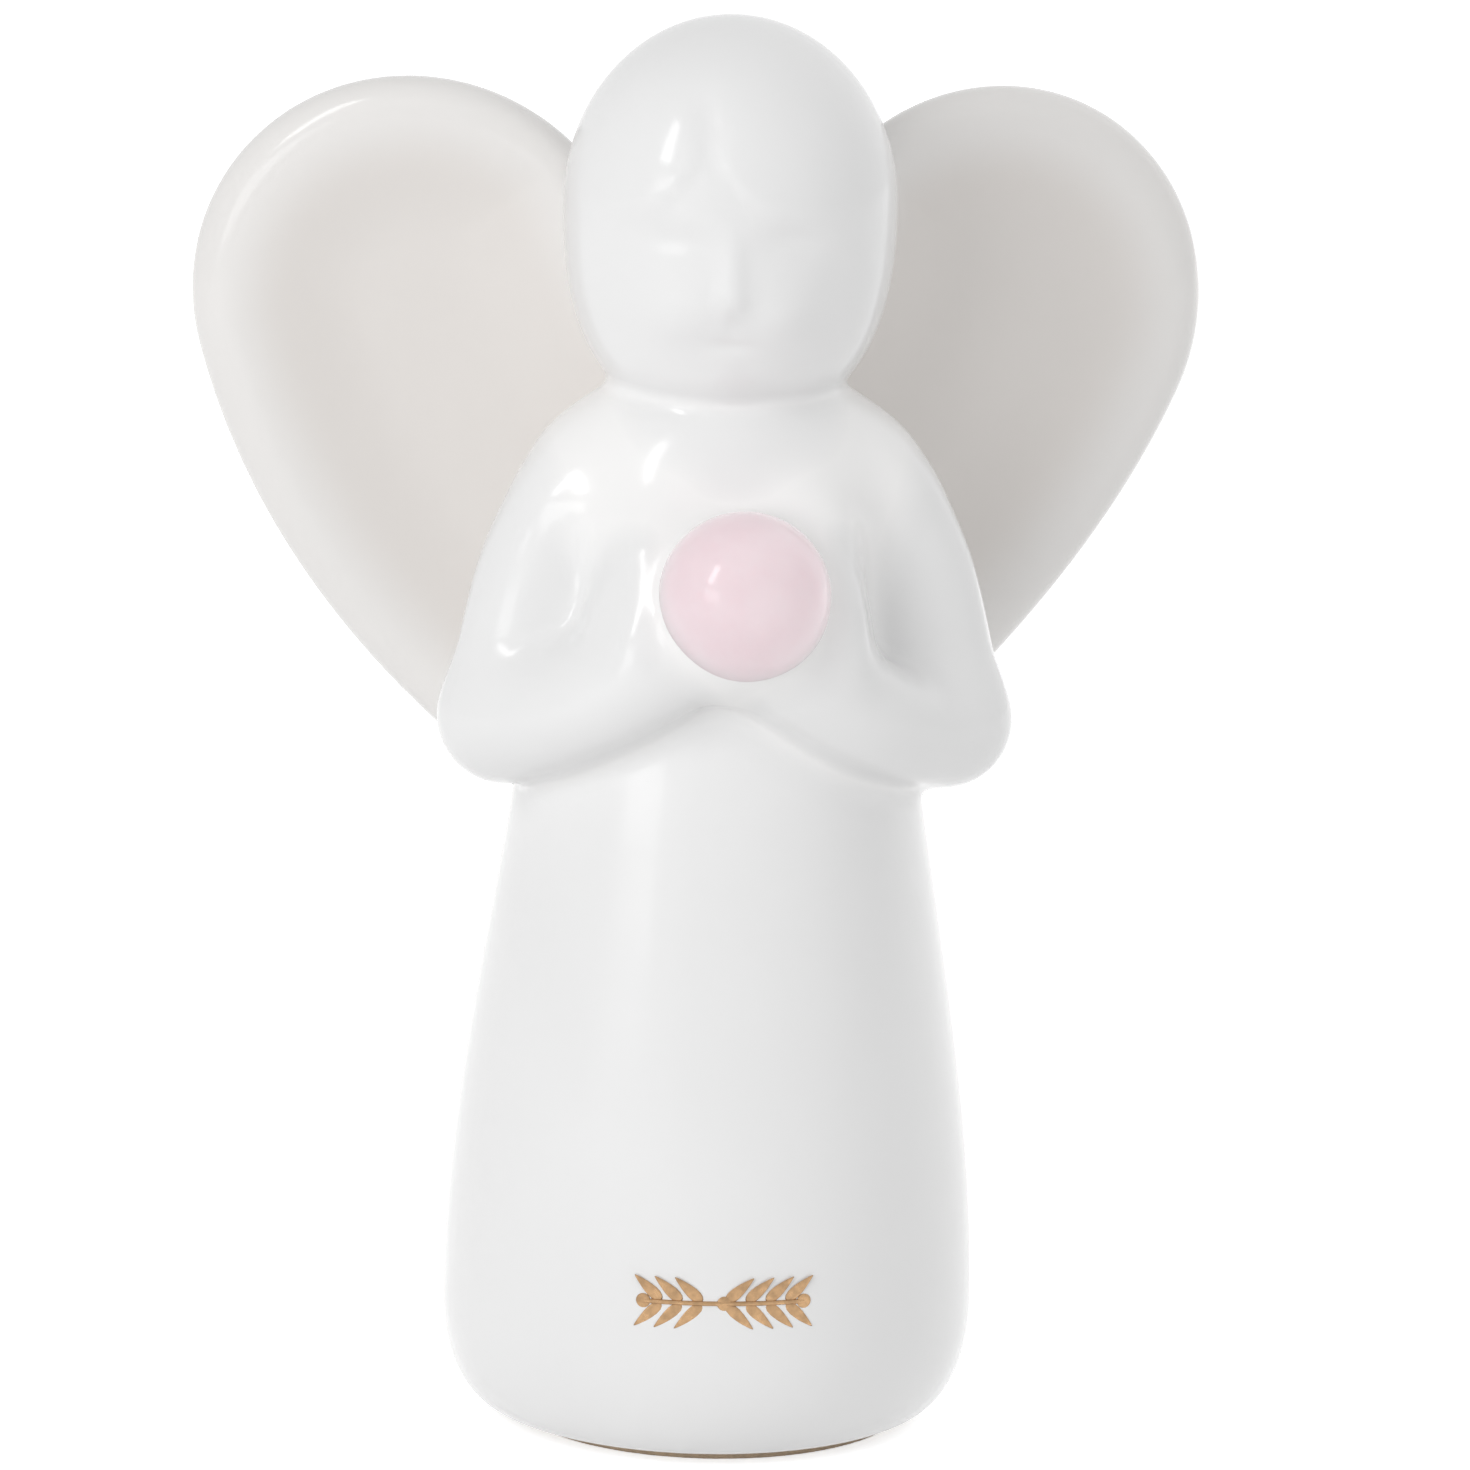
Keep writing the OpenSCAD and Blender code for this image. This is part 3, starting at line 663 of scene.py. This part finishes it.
def sculpt(form, piece, kind, node, side=0):
    """Closed mesh of one piece, with its seams on the borders to its neighbours."""
    def read(p):
        return form.fields(p, piece, side)

    cell, reach = CELLS[kind], np.array(REACH[kind])
    low, high = (np.array(v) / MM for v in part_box(node))
    low, high = low - reach, high + reach
    counts = COARSE * np.ceil((high - low) / (COARSE * cell)).astype(int)
    axes = [low[a] + cell * np.arange(counts[a]) for a in range(3)]
    grid = np.stack(np.meshgrid(*axes, indexing="ij"), -1)
    rough = slice(COARSE // 2, None, COARSE)
    whole, border = (
        v.reshape(counts // COARSE).repeat(COARSE, 0).repeat(COARSE, 1).repeat(COARSE, 2)
        for v in read(grid[rough, rough, rough].reshape(-1, 3)))
    near = np.abs(np.maximum(dive(whole, border), border - SEAM_LAP)) < BAND * cell
    whole[near], border[near] = read(grid[near])
    points, quads, skin, on_outer, on_border = net_surface(
        dive(whole, border), border - SEAM_LAP, low, cell)
    start, seam = points.copy(), on_outer & on_border
    for _ in range(SETTLE_STEPS):
        whole, border, gw, gb = slopes(read, points)
        f, h = dive(whole, border), border - SEAM_LAP
        gf = gw + 2 * DIVE * np.maximum(border, 0.0)[:, None] * gb
        ff, hh, fh = (gf * gf).sum(1) + SPECK, (gb * gb).sum(1) + SPECK, (gf * gb).sum(1)
        det = np.maximum(ff * hh - fh * fh, SETTLE_CREASE)
        a = np.where(seam, (f * hh - h * fh) / det, np.where(on_outer, f / ff, 0.0))
        b = np.where(seam, (h * ff - f * fh) / det, np.where(on_outer, 0.0, h / hh))
        move = points - a[:, None] * gf - b[:, None] * gb - start
        size = np.linalg.norm(move, axis=1)
        move *= np.minimum(1.0, SETTLE_REACH * cell / np.maximum(size, SPECK))[:, None]
        points = start + move
    _, _, gw, gb = slopes(read, points)
    normals = np.where(skin[:, None, None], gw[quads], gb[quads])
    normals /= np.maximum(np.linalg.norm(normals, axis=2, keepdims=True), SPECK)
    return points, quads, normals, form.pool(points)


def figure_piece(name, shape, material, slot):
    """Object of one sculpted piece, which stands for the node of its name."""
    points, quads, normals, pool = shape
    mesh = bpy.data.meshes.new(name + "_form")
    mesh.from_pydata((points * MM).tolist(), [], quads.tolist())
    mesh.polygons.foreach_set("use_smooth", np.ones(len(quads), bool))
    mesh.attributes.new("pool", "FLOAT", "POINT").data.foreach_set("value", pool.astype(np.float32))
    mesh.normals_split_custom_set(normals.reshape(-1, 3).tolist())
    mesh.materials.append(material)
    return settle(name + "_form", mesh, slot, name)


def settle(name, mesh, slot=None, *nodes):
    """Puts a finished mesh into the scene as a piece of the figure."""
    piece = bpy.data.objects.new(name, mesh)
    bpy.context.scene.collection.objects.link(piece)
    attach(piece, ROOT)
    if nodes:
        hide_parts(*nodes)
    return piece


class Value:
    """A socket of a node tree; arithmetic on it adds Math nodes."""

    def __init__(self, nodes, socket):
        self.nodes, self.socket = nodes, socket

    def math(self, operation, *values):
        """Adds one Math node."""
        return self.nodes.add("ShaderNodeMath", {"operation": operation}, dict(enumerate(values)))

    def __add__(self, other):
        return self.math("ADD", self, other)

    def __sub__(self, other):
        return self.math("SUBTRACT", self, other)

    def __rsub__(self, other):
        return self.math("SUBTRACT", other, self)

    def __mul__(self, other):
        return self.math("MULTIPLY", self, other)

    __radd__ = __add__
    __rmul__ = __mul__


class Nodes:
    """Builder of a node tree."""

    def __init__(self, tree):
        self.tree = tree

    def add(self, kind, settings=None, inputs=None, output=0):
        """Adds a node, sets it, then fills or links its sockets, and gives one of its outputs."""
        node = self.tree.nodes.new(kind)
        for key, value in (settings or {}).items():
            setattr(node, key, value)
        for key, value in (inputs or {}).items():
            if isinstance(value, Value):
                self.tree.links.new(value.socket, node.inputs[key])
            else:
                node.inputs[key].default_value = value
        return Value(self, node.outputs[output]) if node.outputs else node

    def blend(self, share, first, second):
        """Mixes two colours."""
        return self.add("ShaderNodeMix", {"data_type": "RGBA"},
                        {"Factor": share, 6: self.tint(first), 7: self.tint(second)}, 2)

    @staticmethod
    def tint(value):
        """A colour as a socket takes it."""
        return value if isinstance(value, Value) else (*value, 1.0)

    def layer(self, name):
        """Values of a piece's own attribute."""
        return self.add("ShaderNodeAttribute", {"attribute_name": name}, None, "Fac")

    def noise(self, scale, detail=3.0, roughness=0.5, place=None):
        """Noise over the piece, with its scale in spots per metre."""
        place = place or self.add("ShaderNodeTexCoord", output="Object")
        return self.add("ShaderNodeTexNoise", None, {
            "Vector": place, "Scale": scale, "Detail": detail, "Roughness": roughness})

    def span(self, value, low, high, to_low=0.0, to_high=1.0):
        """Clamped change of range."""
        return self.add("ShaderNodeMapRange", None, {
            "Value": value, "From Min": low, "From Max": high, "To Min": to_low, "To Max": to_high})

    def bump(self, height, strength, distance):
        """Fine relief of the surface, with its depth in metres."""
        return self.add("ShaderNodeBump", None, {
            "Height": height, "Strength": strength, "Distance": distance}, "Normal")


def darker(shade, share):
    """A colour at a share of its strength."""
    return [v * share for v in shade]


def finish(name, fill):
    """Makes a material; fill gives the inputs of its surface shader."""
    material = bpy.data.materials.new(name)
    material.use_nodes = True
    material.node_tree.nodes.clear()
    nodes = Nodes(material.node_tree)
    surface = nodes.add("ShaderNodeBsdfPrincipled", None, fill(nodes))
    nodes.add("ShaderNodeOutputMaterial", None, {"Surface": surface})
    return material


def poured_white(c):
    """Poured white lacquer: a mirror-like skin, painted lighter and a little creamier in the creases
    as the light that fills them.
    """
    def fill(n):
        pool = n.layer("pool")
        cloud = n.noise(55.0, 2.0)
        peel = n.noise(420.0, 2.0)
        shade = n.blend(n.span(cloud, 0.35, 0.65), c.white, darker(c.white, 0.985))
        return {
            # The creases are painted lighter here, as light that fills them.
            "Base Color": n.blend(n.span(pool, 0.02, 0.6), shade, c.white_pool),
            "Roughness": n.span(n.noise(160.0, 3.0), 0.3, 0.7, 0.13, 0.20),
            "Normal": n.bump(peel, 0.06, 0.0001),
            "IOR": 1.5, "Coat Weight": 0.12, "Coat Roughness": 0.06,
        }
    return finish("poured_white", fill)


def warm_lacquer(c):
    """Warm white lacquer of the wings, satin in the dish and glossy on the rim; the dish colour is
    partly a warmer tone of its own and partly painted shade, so the rim stands lighter as a painted
    highlight, and the creases are painted darker as shade.
    """
    def fill(n):
        pool = n.layer("pool")
        dish = n.layer("dish")
        cloud = n.noise(60.0, 3.0)
        # The dish and the creases are painted darker here: partly the satin's warmer tone, partly
        # painted shade.
        shade = n.blend(dish * 0.8 + cloud * 0.2, c.wing, c.wing_pool)
        return {
            "Base Color": n.blend(n.span(pool, 0.02, 0.6), shade, c.wing_pool),
            "Roughness": n.span(dish, 0.0, 1.0, 0.14, 0.25),
            "Normal": n.bump(n.noise(520.0, 3.0), 0.08, 0.0001),
            "IOR": 1.5, "Coat Weight": 0.12, "Coat Roughness": 0.08,
        }
    return finish("warm_lacquer", fill)


def milky_quartz(c):
    """Polished milky quartz with misty veils, with a painted glow of its own colours standing in for
    light that passes through it.
    """
    def fill(n):
        place = n.add("ShaderNodeTexCoord", output="Object")
        swirl = n.noise(110.0, 2.0, place=place)
        push = n.add("ShaderNodeVectorMath", {"operation": "SCALE"}, {0: swirl, "Scale": 0.003})
        bent = n.add("ShaderNodeVectorMath", {"operation": "ADD"}, {0: place, 1: push})
        mist = n.span(n.noise(150.0, 4.0, 0.55, bent), 0.35, 0.68)
        shade = n.blend(mist, c.stone, c.stone_mist)
        return {
            # Painted light: the stone glows with its own colours, standing in for light scattered
            # through it.
            "Base Color": shade, "Emission Color": shade, "Emission Strength": 0.34,
            "Roughness": n.span(mist, 0.0, 1.0, 0.30, 0.45),
            "IOR": 1.54, "Coat Weight": 0.8, "Coat Roughness": 0.07,
            "Subsurface Weight": 1.0, "Subsurface Radius": (1.0, 0.75, 0.8), "Subsurface Scale": 0.006,
        }
    return finish("milky_quartz", fill)


def gold_paint(c):
    """Fired gold paint, thin and a little worn."""
    def fill(n):
        wear = n.span(n.noise(1400.0, 4.0, 0.6), 0.38, 0.66)
        return {
            "Base Color": n.blend(wear, c.gilt, darker(c.gilt, 0.72)),
            "Metallic": n.span(wear, 0.0, 1.0, 0.95, 0.75),
            "Roughness": n.span(wear, 0.0, 1.0, 0.26, 0.42),
            "Normal": n.bump(n.noise(3000.0, 2.0), 0.2, 0.00004),
        }
    return finish("gold_paint", fill)


def tan_felt(c):
    """Pressed felt with matted fibres."""
    def fill(n):
        fibre = n.noise(2600.0, 6.0, 0.7)
        matted = n.noise(500.0, 3.0)
        return {
            "Base Color": n.blend(n.span(fibre * 0.7 + matted * 0.3, 0.35, 0.65),
                                  darker(c.felt, 0.7), c.felt),
            "Roughness": n.span(fibre, 0.3, 0.7, 0.86, 0.98),
            "Normal": n.bump(fibre, 0.7, 0.0003),
            "Sheen Weight": 0.3, "Sheen Roughness": 0.5,
        }
    return finish("tan_felt", fill)


def drawn_steel(c):
    """Drawn steel with fine scratches."""
    def fill(n):
        scratch = n.noise(1800.0, 4.0, 0.6)
        return {
            "Base Color": n.blend(scratch, c.steel, darker(c.steel, 0.8)),
            "Roughness": n.span(scratch, 0.3, 0.7, 0.28, 0.42),
            "Metallic": 1.0,
            "Normal": n.bump(scratch, 0.1, 0.00005),
        }
    return finish("drawn_steel", fill)


def cured_adhesive(c):
    """Cured clear adhesive, a little cloudy."""
    def fill(n):
        cloud = n.noise(900.0, 3.0)
        return {
            "Base Color": n.blend(cloud, c.adhesive, darker(c.adhesive, 0.85)),
            "Roughness": n.span(cloud, 0.3, 0.7, 0.25, 0.4),
            "Normal": n.bump(cloud, 0.2, 0.0001),
        }
    return finish("cured_adhesive", fill)


def made(build):
    """A material that is made once."""
    return bpy.data.materials.get(build.__name__) or build(bpy.context.scene.figurine_finishes)


class FIGURINE_OT_body(bpy.types.Operator):
    """Shapes the gown and the torso."""

    bl_idname = "figurine.body"
    bl_label = "Body"

    def execute(self, context):
        shape = sculpt(FigureForm(context.scene), "body", "body", "body")
        figure_piece("body", shape, made(poured_white), "white_gloss")
        return {"FINISHED"}


class FIGURINE_OT_head(bpy.types.Operator):
    """Shapes the head with its soft face."""

    bl_idname = "figurine.head"
    bl_label = "Head"

    def execute(self, context):
        shape = sculpt(FigureForm(context.scene), "head", "head", "head")
        figure_piece("head", shape, made(poured_white), "white_gloss")
        return {"FINISHED"}


class FIGURINE_OT_arms(bpy.types.Operator):
    """Shapes both arms with their mitten hands."""

    bl_idname = "figurine.arms"
    bl_label = "Arms"

    def execute(self, context):
        form = FigureForm(context.scene)
        for name in ARMS:
            figure_piece(name, sculpt(form, name, "arm", name), made(poured_white), "white_gloss")
        return {"FINISHED"}


class FIGURINE_OT_wings(bpy.types.Operator):
    """Shapes both wings, with a rounded rim around a dished front."""

    bl_idname = "figurine.wings"
    bl_label = "Wings"

    def execute(self, context):
        form = FigureForm(context.scene)
        rim = form.wing_sizes["rim"]
        for name, side in SIDES:
            shape = sculpt(form, "wing", "wing", name + "_wing", side)
            # This mask sets the satin and the painted dish shade of the wing lacquer.
            dish = ramp(form.edge(shape[0]), *(k * rim for k in DISH_SPAN))
            piece = figure_piece(name + "_wing", shape, made(warm_lacquer), "wing_gloss")
            layer = piece.data.attributes.new("dish", "FLOAT", "POINT")
            layer.data.foreach_set("value", dish.astype(np.float32))
        return {"FINISHED"}


class FIGURINE_OT_stone(bpy.types.Operator):
    """Makes the polished stone, slightly uneven from tumbling."""

    bl_idname = "figurine.stone"
    bl_label = "Stone"

    def execute(self, context):
        middle = (STONE_LOW + STONE_HIGH) / 2
        radius = (STONE_HIGH.z - STONE_LOW.z) / 2
        bpy.ops.mesh.primitive_ico_sphere_add(subdivisions=6, radius=1.0)
        ball = context.object
        mesh = ball.data
        co = np.empty(len(mesh.vertices) * 3)
        mesh.vertices.foreach_get("co", co)
        co = co.reshape(-1, 3)
        co /= np.linalg.norm(co, axis=1, keepdims=True)
        waves = sum(np.sin(co @ np.array(k) + start) for k, start in STONE_WAVES)
        co *= 1.0 - STONE_UNEVEN * (len(STONE_WAVES) - waves[:, None])
        mesh.vertices.foreach_set("co", (np.array(middle) + radius * co).ravel())
        mesh.polygons.foreach_set("use_smooth", np.ones(len(mesh.polygons), bool))
        mesh.update()
        mesh.materials.append(made(milky_quartz))
        bpy.data.objects.remove(ball)
        settle("stone_ball", mesh, "pink_stone", "stone")
        return {"FINISHED"}


class FIGURINE_OT_gilding(bpy.types.Operator):
    """Lays a gilt sprig of leaves on the gown."""

    bl_idname = "figurine.gilding"
    bl_label = "Gilding"

    def execute(self, context):
        trim = context.scene.figurine_trim
        form = FigureForm(context.scene)
        level = np.array([trim.sprig_level / MM])
        radius = float(form.body_radius(level)[0][0]) * MM
        tree = sprig_tree()
        mesh = bpy.data.meshes.new("sprig")
        maker = bpy.data.objects.new("sprig_maker", mesh)
        context.scene.collection.objects.link(maker)
        modifier = maker.modifiers.new("sprig", "NODES")
        modifier.node_group = tree
        values = {
            "Gown Radius": radius, "Level": trim.sprig_level, "Turn": trim.sprig_turn,
            "Step": trim.leaf_step / radius, "Pairs": trim.leaf_pairs,
            "Leaf Length": trim.leaf_length, "Leaf Width": trim.leaf_width,
            "Leaf Rise": trim.leaf_rise, "Leaf Tilt": trim.leaf_tilt,
            "Stem Radius": trim.stem_radius, "Bud Radius": trim.bud_radius,
            "Finish": made(gold_paint),
        }
        for item in tree.interface.items_tree:
            if item.item_type == "SOCKET" and item.in_out == "INPUT" and item.name in values:
                modifier[item.identifier] = values[item.name]
        maker.update_tag()
        grown = maker.evaluated_get(context.evaluated_depsgraph_get())
        result = bpy.data.meshes.new_from_object(grown)
        bpy.data.objects.remove(maker)
        if not result.polygons:
            raise RuntimeError("the sprig tree made no faces")
        result.name = "gilt_sprig"
        settle("gilt_sprig", result)
        return {"FINISHED"}


SPRIG_INPUTS = {
    "Gown Radius": "Float", "Level": "Float", "Turn": "Float", "Step": "Float", "Pairs": "Int",
    "Leaf Length": "Float", "Leaf Width": "Float", "Leaf Rise": "Float", "Leaf Tilt": "Float",
    "Stem Radius": "Float", "Bud Radius": "Float", "Finish": "Material",
}


def sprig_tree():
    """Geometry Nodes: leaves in pairs along a stem that follows the round of the gown."""
    tree = bpy.data.node_groups.new("gilt_sprig", "GeometryNodeTree")
    for name, kind in SPRIG_INPUTS.items():
        tree.interface.new_socket(name, in_out="INPUT", socket_type="NodeSocket" + kind)
    tree.interface.new_socket("Geometry", in_out="OUTPUT", socket_type="NodeSocketGeometry")
    n = Nodes(tree)
    group = tree.nodes.new("NodeGroupInput")
    value = {s.name: Value(n, s) for s in group.outputs if s.name}
    count = value["Pairs"]

    def sites(count, step):
        """Points along the round of the gown, with the order and the angle of each."""
        order = n.add("GeometryNodeInputIndex")
        angle = (order - (count - 1) * 0.5) * step + value["Turn"]
        place = n.add("ShaderNodeCombineXYZ", None, {
            "X": angle.math("SINE", angle) * value["Gown Radius"],
            "Y": angle.math("COSINE", angle) * value["Gown Radius"] * -1.0, "Z": value["Level"]})
        line = n.add("GeometryNodeMeshLine", None, {"Count": count})
        points = n.add("GeometryNodeSetPosition", None, {"Geometry": line, "Position": place})
        return points, order, angle

    def bead(size):
        """Flat bead that lies on the gown, pointed where its width runs out."""
        ball = n.add("GeometryNodeMeshUVSphere", None, {"Segments": 16, "Rings": 10, "Radius": 1.0})
        smooth = n.add("GeometryNodeSetShadeSmooth", None, {"Geometry": ball})
        place = n.add("GeometryNodeInputPosition")
        parts = {k: n.add("ShaderNodeSeparateXYZ", None, {"Vector": place}, k) for k in "XYZ"}
        taper = 1.0 - size["point"] * (parts["X"] + 1.0) * 0.5
        shaped = n.add("ShaderNodeCombineXYZ", None, {
            "X": (parts["X"] + size["shift"]) * size["long"], "Y": parts["Y"] * size["rise"],
            "Z": parts["Z"] * taper * size["wide"]})
        return n.add("GeometryNodeSetPosition", None, {"Geometry": smooth, "Position": shaped})

    def lay(points, bead_form, tilt, spin):
        """Sets one bead on each point, tilted on the gown and turned around the axis."""
        euler = n.add("ShaderNodeCombineXYZ", None, {"X": 0.0, "Y": tilt, "Z": spin})
        return n.add("GeometryNodeInstanceOnPoints", None, {
            "Points": points, "Instance": bead_form,
            "Rotation": n.add("FunctionNodeEulerToRotation", None, {"Euler": euler})})

    leaf = bead({"point": 0.75, "shift": 1.12, "long": value["Leaf Length"] * 0.5,
                 "rise": value["Leaf Rise"], "wide": value["Leaf Width"] * 0.62})
    bud = bead({"point": 0.0, "shift": 0.0, "long": value["Bud Radius"],
                "rise": value["Leaf Rise"] * 1.5, "wide": value["Bud Radius"]})
    growth = []
    for way in (1.0, -1.0):
        points, order, angle = sites(count, value["Step"])
        turned = n.add("ShaderNodeMath", {"operation": "LESS_THAN"}, {0: order, 1: (count - 1) * 0.5})
        growth.append(lay(points, leaf, value["Leaf Tilt"] * -way, angle + turned * math.pi))
    points, *_ = sites(count + 2, value["Step"])
    growth.append(n.add("GeometryNodeCurveToMesh", None, {
        "Curve": n.add("GeometryNodeMeshToCurve", None, {"Mesh": points}),
        "Profile Curve": n.add("GeometryNodeCurvePrimitiveCircle", None, {
            "Resolution": 10, "Radius": value["Stem Radius"]}),
        "Fill Caps": True}))
    points, _, angle = sites(3, value["Step"] * (count + 1) * 0.5)
    growth.append(lay(points, bud, 0.0, angle))
    join = tree.nodes.new("GeometryNodeJoinGeometry")
    for part in growth:
        tree.links.new(part.socket, join.inputs[0])
    real = n.add("GeometryNodeRealizeInstances", None, {"Geometry": Value(n, join.outputs[0])})
    painted = n.add("GeometryNodeSetMaterial", None, {"Geometry": real, "Material": value["Finish"]})
    out = tree.nodes.new("NodeGroupOutput")
    tree.links.new(painted.socket, out.inputs[0])
    return tree


class FIGURINE_OT_base_pad(bpy.types.Operator):
    """Cuts the felt pad under the foot."""

    bl_idname = "figurine.base_pad"
    bl_label = "Base Pad"

    def execute(self, context):
        trim = context.scene.figurine_trim
        round_off, shift = trim.pad_round, trim.pad_shift
        low, high, radius = PAD_LOW.z, PAD_HIGH.z, PAD_HIGH.x + trim.pad_spread
        bends = [(round_off * (1 - math.sin(a)), round_off * (1 - math.cos(a)))
                 for a in np.linspace(0.0, math.pi / 2, PAD_BENDS)]
        rings = [(radius * share, low) for share in PAD_RINGS]
        rings += [(radius - across, low + up) for across, up in bends]
        rings += [(radius - across, high - up) for up, across in bends]
        rings += [(radius * share, high) for share in reversed(PAD_RINGS)]
        sides = PAD_SIDES
        ragged = 1.0 - PAD_RAGGED * np.random.default_rng(PAD_SEED).random(sides)
        turns = 2 * math.pi * np.arange(sides) / sides
        verts = [(shift + r * k * math.cos(a), r * k * math.sin(a), z)
                 for r, z in rings for a, k in zip(turns, ragged)]
        faces = [(i * sides + j, i * sides + (j + 1) % sides, (i + 1) * sides + (j + 1) % sides,
                  (i + 1) * sides + j) for i in range(len(rings) - 1) for j in range(sides)]
        faces.append(tuple(range(sides))[::-1])
        faces.append(tuple((len(rings) - 1) * sides + j for j in range(sides)))
        mesh = bpy.data.meshes.new("felt_pad")
        mesh.from_pydata(verts, [], faces)
        mesh.polygons.foreach_set("use_smooth", np.ones(len(faces), bool))
        mesh.materials.append(made(tan_felt))
        settle("felt_pad", mesh, "pad_felt", "base_pad")
        return {"FINISHED"}


class FIGURINE_OT_fittings(bpy.types.Operator):
    """Finishes the dowels and the adhesive bed, which keep their solids."""

    bl_idname = "figurine.fittings"
    bl_label = "Hidden Fittings"

    def execute(self, context):
        for name in ("wing_pins", "arm_pins", "neck_pin"):
            paint(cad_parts[name], made(drawn_steel))
        paint(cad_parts["stone_bed"], made(cured_adhesive))
        return {"FINISHED"}


def paint(node, material):
    """Gives a solid of the frame its finish."""
    if not node.material_slots:
        raise RuntimeError(node.name + " has no material slot")
    for slot in node.material_slots:
        slot.material = material


class FIGURINE_OT_stage(bpy.types.Operator):
    """Sets up the floor, the lamps and the camera."""

    bl_idname = "figurine.stage"
    bl_label = "Stage"

    def execute(self, context):
        scene, stage = context.scene, context.scene.figurine_stage
        scene.view_settings.view_transform = "Standard"
        self.floor(scene)
        self.world(scene, stage)
        for name, place, wide, tall, mirrored in LAMPS:
            lamp = bpy.data.lights.new(name + "_lamp", "AREA")
            lamp.shape = "RECTANGLE"
            lamp.size, lamp.size_y, lamp.energy = wide, tall, getattr(stage, name)
            lamp_object = bpy.data.objects.new(name + "_lamp", lamp)
            scene.collection.objects.link(lamp_object)
            lamp_object.location, lamp_object.visible_glossy = place, mirrored
            look = Vector(place) - Vector(LAMP_AIM)
            lamp_object.rotation_euler = look.to_track_quat("Z", "Y").to_euler()
        self.camera(scene, stage)
        return {"FINISHED"}

    def floor(self, scene):
        """Pale floor that keeps the figure's shadow and shows white further out."""
        half = FLOOR_HALF
        mesh = bpy.data.meshes.new("floor")
        corners = [(-half, -half, 0), (half, -half, 0), (half, half, 0), (-half, half, 0)]
        mesh.from_pydata(corners, [], [(0, 1, 2, 3)])
        material = bpy.data.materials.new("pale_floor")
        material.use_nodes = True
        material.node_tree.nodes.clear()
        n = Nodes(material.node_tree)
        paper = n.add("ShaderNodeBsdfDiffuse", None, {"Color": FLOOR_SHADE})
        strength = FLOOR_GLOW * self.seen(n)
        glow = n.add("ShaderNodeEmission", None, {"Color": WHITE, "Strength": strength})
        both = n.add("ShaderNodeAddShader", None, {0: paper, 1: glow})
        n.add("ShaderNodeOutputMaterial", None, {"Surface": both})
        mesh.materials.append(material)
        floor = bpy.data.objects.new("floor", mesh)
        scene.collection.objects.link(floor)

    @staticmethod
    def seen(n):
        """1 for rays that show the surroundings, 0 for rays that light the figure."""
        rays = [n.add("ShaderNodeLightPath", None, None, name)
                for name in ("Is Camera Ray", "Is Glossy Ray", "Is Transmission Ray")]
        return rays[0].math("MINIMUM", rays[0] + rays[1] + rays[2], 1.0)

    def world(self, scene, stage):
        """White room that is dimmer as a light than it looks."""
        world = bpy.data.worlds.new("white_room")
        world.use_nodes = True
        world.node_tree.nodes.clear()
        n = Nodes(world.node_tree)
        seen = self.seen(n)
        strength = seen + (1.0 - seen) * stage.ambient
        sky = n.add("ShaderNodeBackground", None, {"Color": WHITE, "Strength": strength})
        n.add("ShaderNodeOutputWorld", None, {"Surface": sky})
        scene.world = world

    def camera(self, scene, stage):
        """Camera at the angle of the picture."""
        a, e, r = stage.azimuth, stage.elevation, stage.roll
        right = Vector((math.cos(a), math.sin(a), 0.0))
        up = Vector((math.sin(e) * -math.sin(a), math.sin(e) * math.cos(a), math.cos(e)))
        back = Vector((math.sin(a) * math.cos(e), -math.cos(a) * math.cos(e), math.sin(e)))
        image_right = math.cos(r) * right + math.sin(r) * up
        image_up = math.cos(r) * up - math.sin(r) * right
        aim = Vector(CAMERA_AIM) + CAMERA_OFFSET[0] * image_right + CAMERA_OFFSET[1] * image_up
        place = aim + back * stage.distance
        data = bpy.data.cameras.new("camera")
        data.sensor_width, data.lens = SENSOR, stage.lens
        data.clip_start, data.clip_end = CLIP
        camera = bpy.data.objects.new("camera", data)
        scene.collection.objects.link(camera)
        camera.matrix_world = Matrix((
            (image_right.x, image_up.x, back.x, place.x),
            (image_right.y, image_up.y, back.y, place.y),
            (image_right.z, image_up.z, back.z, place.z),
            (0.0, 0.0, 0.0, 1.0)))
        scene.camera = camera


OPERATORS = (
    FIGURINE_OT_body, FIGURINE_OT_head, FIGURINE_OT_arms, FIGURINE_OT_wings, FIGURINE_OT_stone,
    FIGURINE_OT_gilding, FIGURINE_OT_base_pad, FIGURINE_OT_fittings, FIGURINE_OT_stage,
)
GROUPS = {
    "figurine_body": FigurineBodySizes, "figurine_arms": FigurineArmSizes,
    "figurine_wings": FigurineWingSizes, "figurine_trim": FigurineTrimSizes,
    "figurine_finishes": FigurineFinishes, "figurine_stage": FigurineStage,
}


class FIGURINE_PT_panel(bpy.types.Panel):
    """Lists the sizes, the finishes and the steps of the figurine."""

    bl_idname = "FIGURINE_PT_panel"
    bl_label = "Angel Figurine"
    bl_space_type = "VIEW_3D"
    bl_region_type = "UI"
    bl_category = "Figurine"

    def draw(self, context):
        for name, group in GROUPS.items():
            box = self.layout.box()
            box.label(text=group.__doc__.rstrip("."))
            for key in group.__annotations__:
                box.prop(getattr(context.scene, name), key)
        for operator in OPERATORS:
            self.layout.operator(operator.bl_idname)


CLASSES = (*GROUPS.values(), *OPERATORS, FIGURINE_PT_panel)


def register():
    """Adds the classes and their settings to Blender."""
    for item in CLASSES:
        bpy.utils.register_class(item)
    for name, group in GROUPS.items():
        setattr(bpy.types.Scene, name, PointerProperty(type=group))


def unregister():
    """Takes them out again."""
    for name in GROUPS:
        delattr(bpy.types.Scene, name)
    for item in reversed(CLASSES):
        bpy.utils.unregister_class(item)


def main():
    """Makes the figurine step by step."""
    register()
    for operator in OPERATORS:
        family, step = operator.bl_idname.split(".")
        getattr(getattr(bpy.ops, family), step)()


if __name__ == "__main__":
    main()
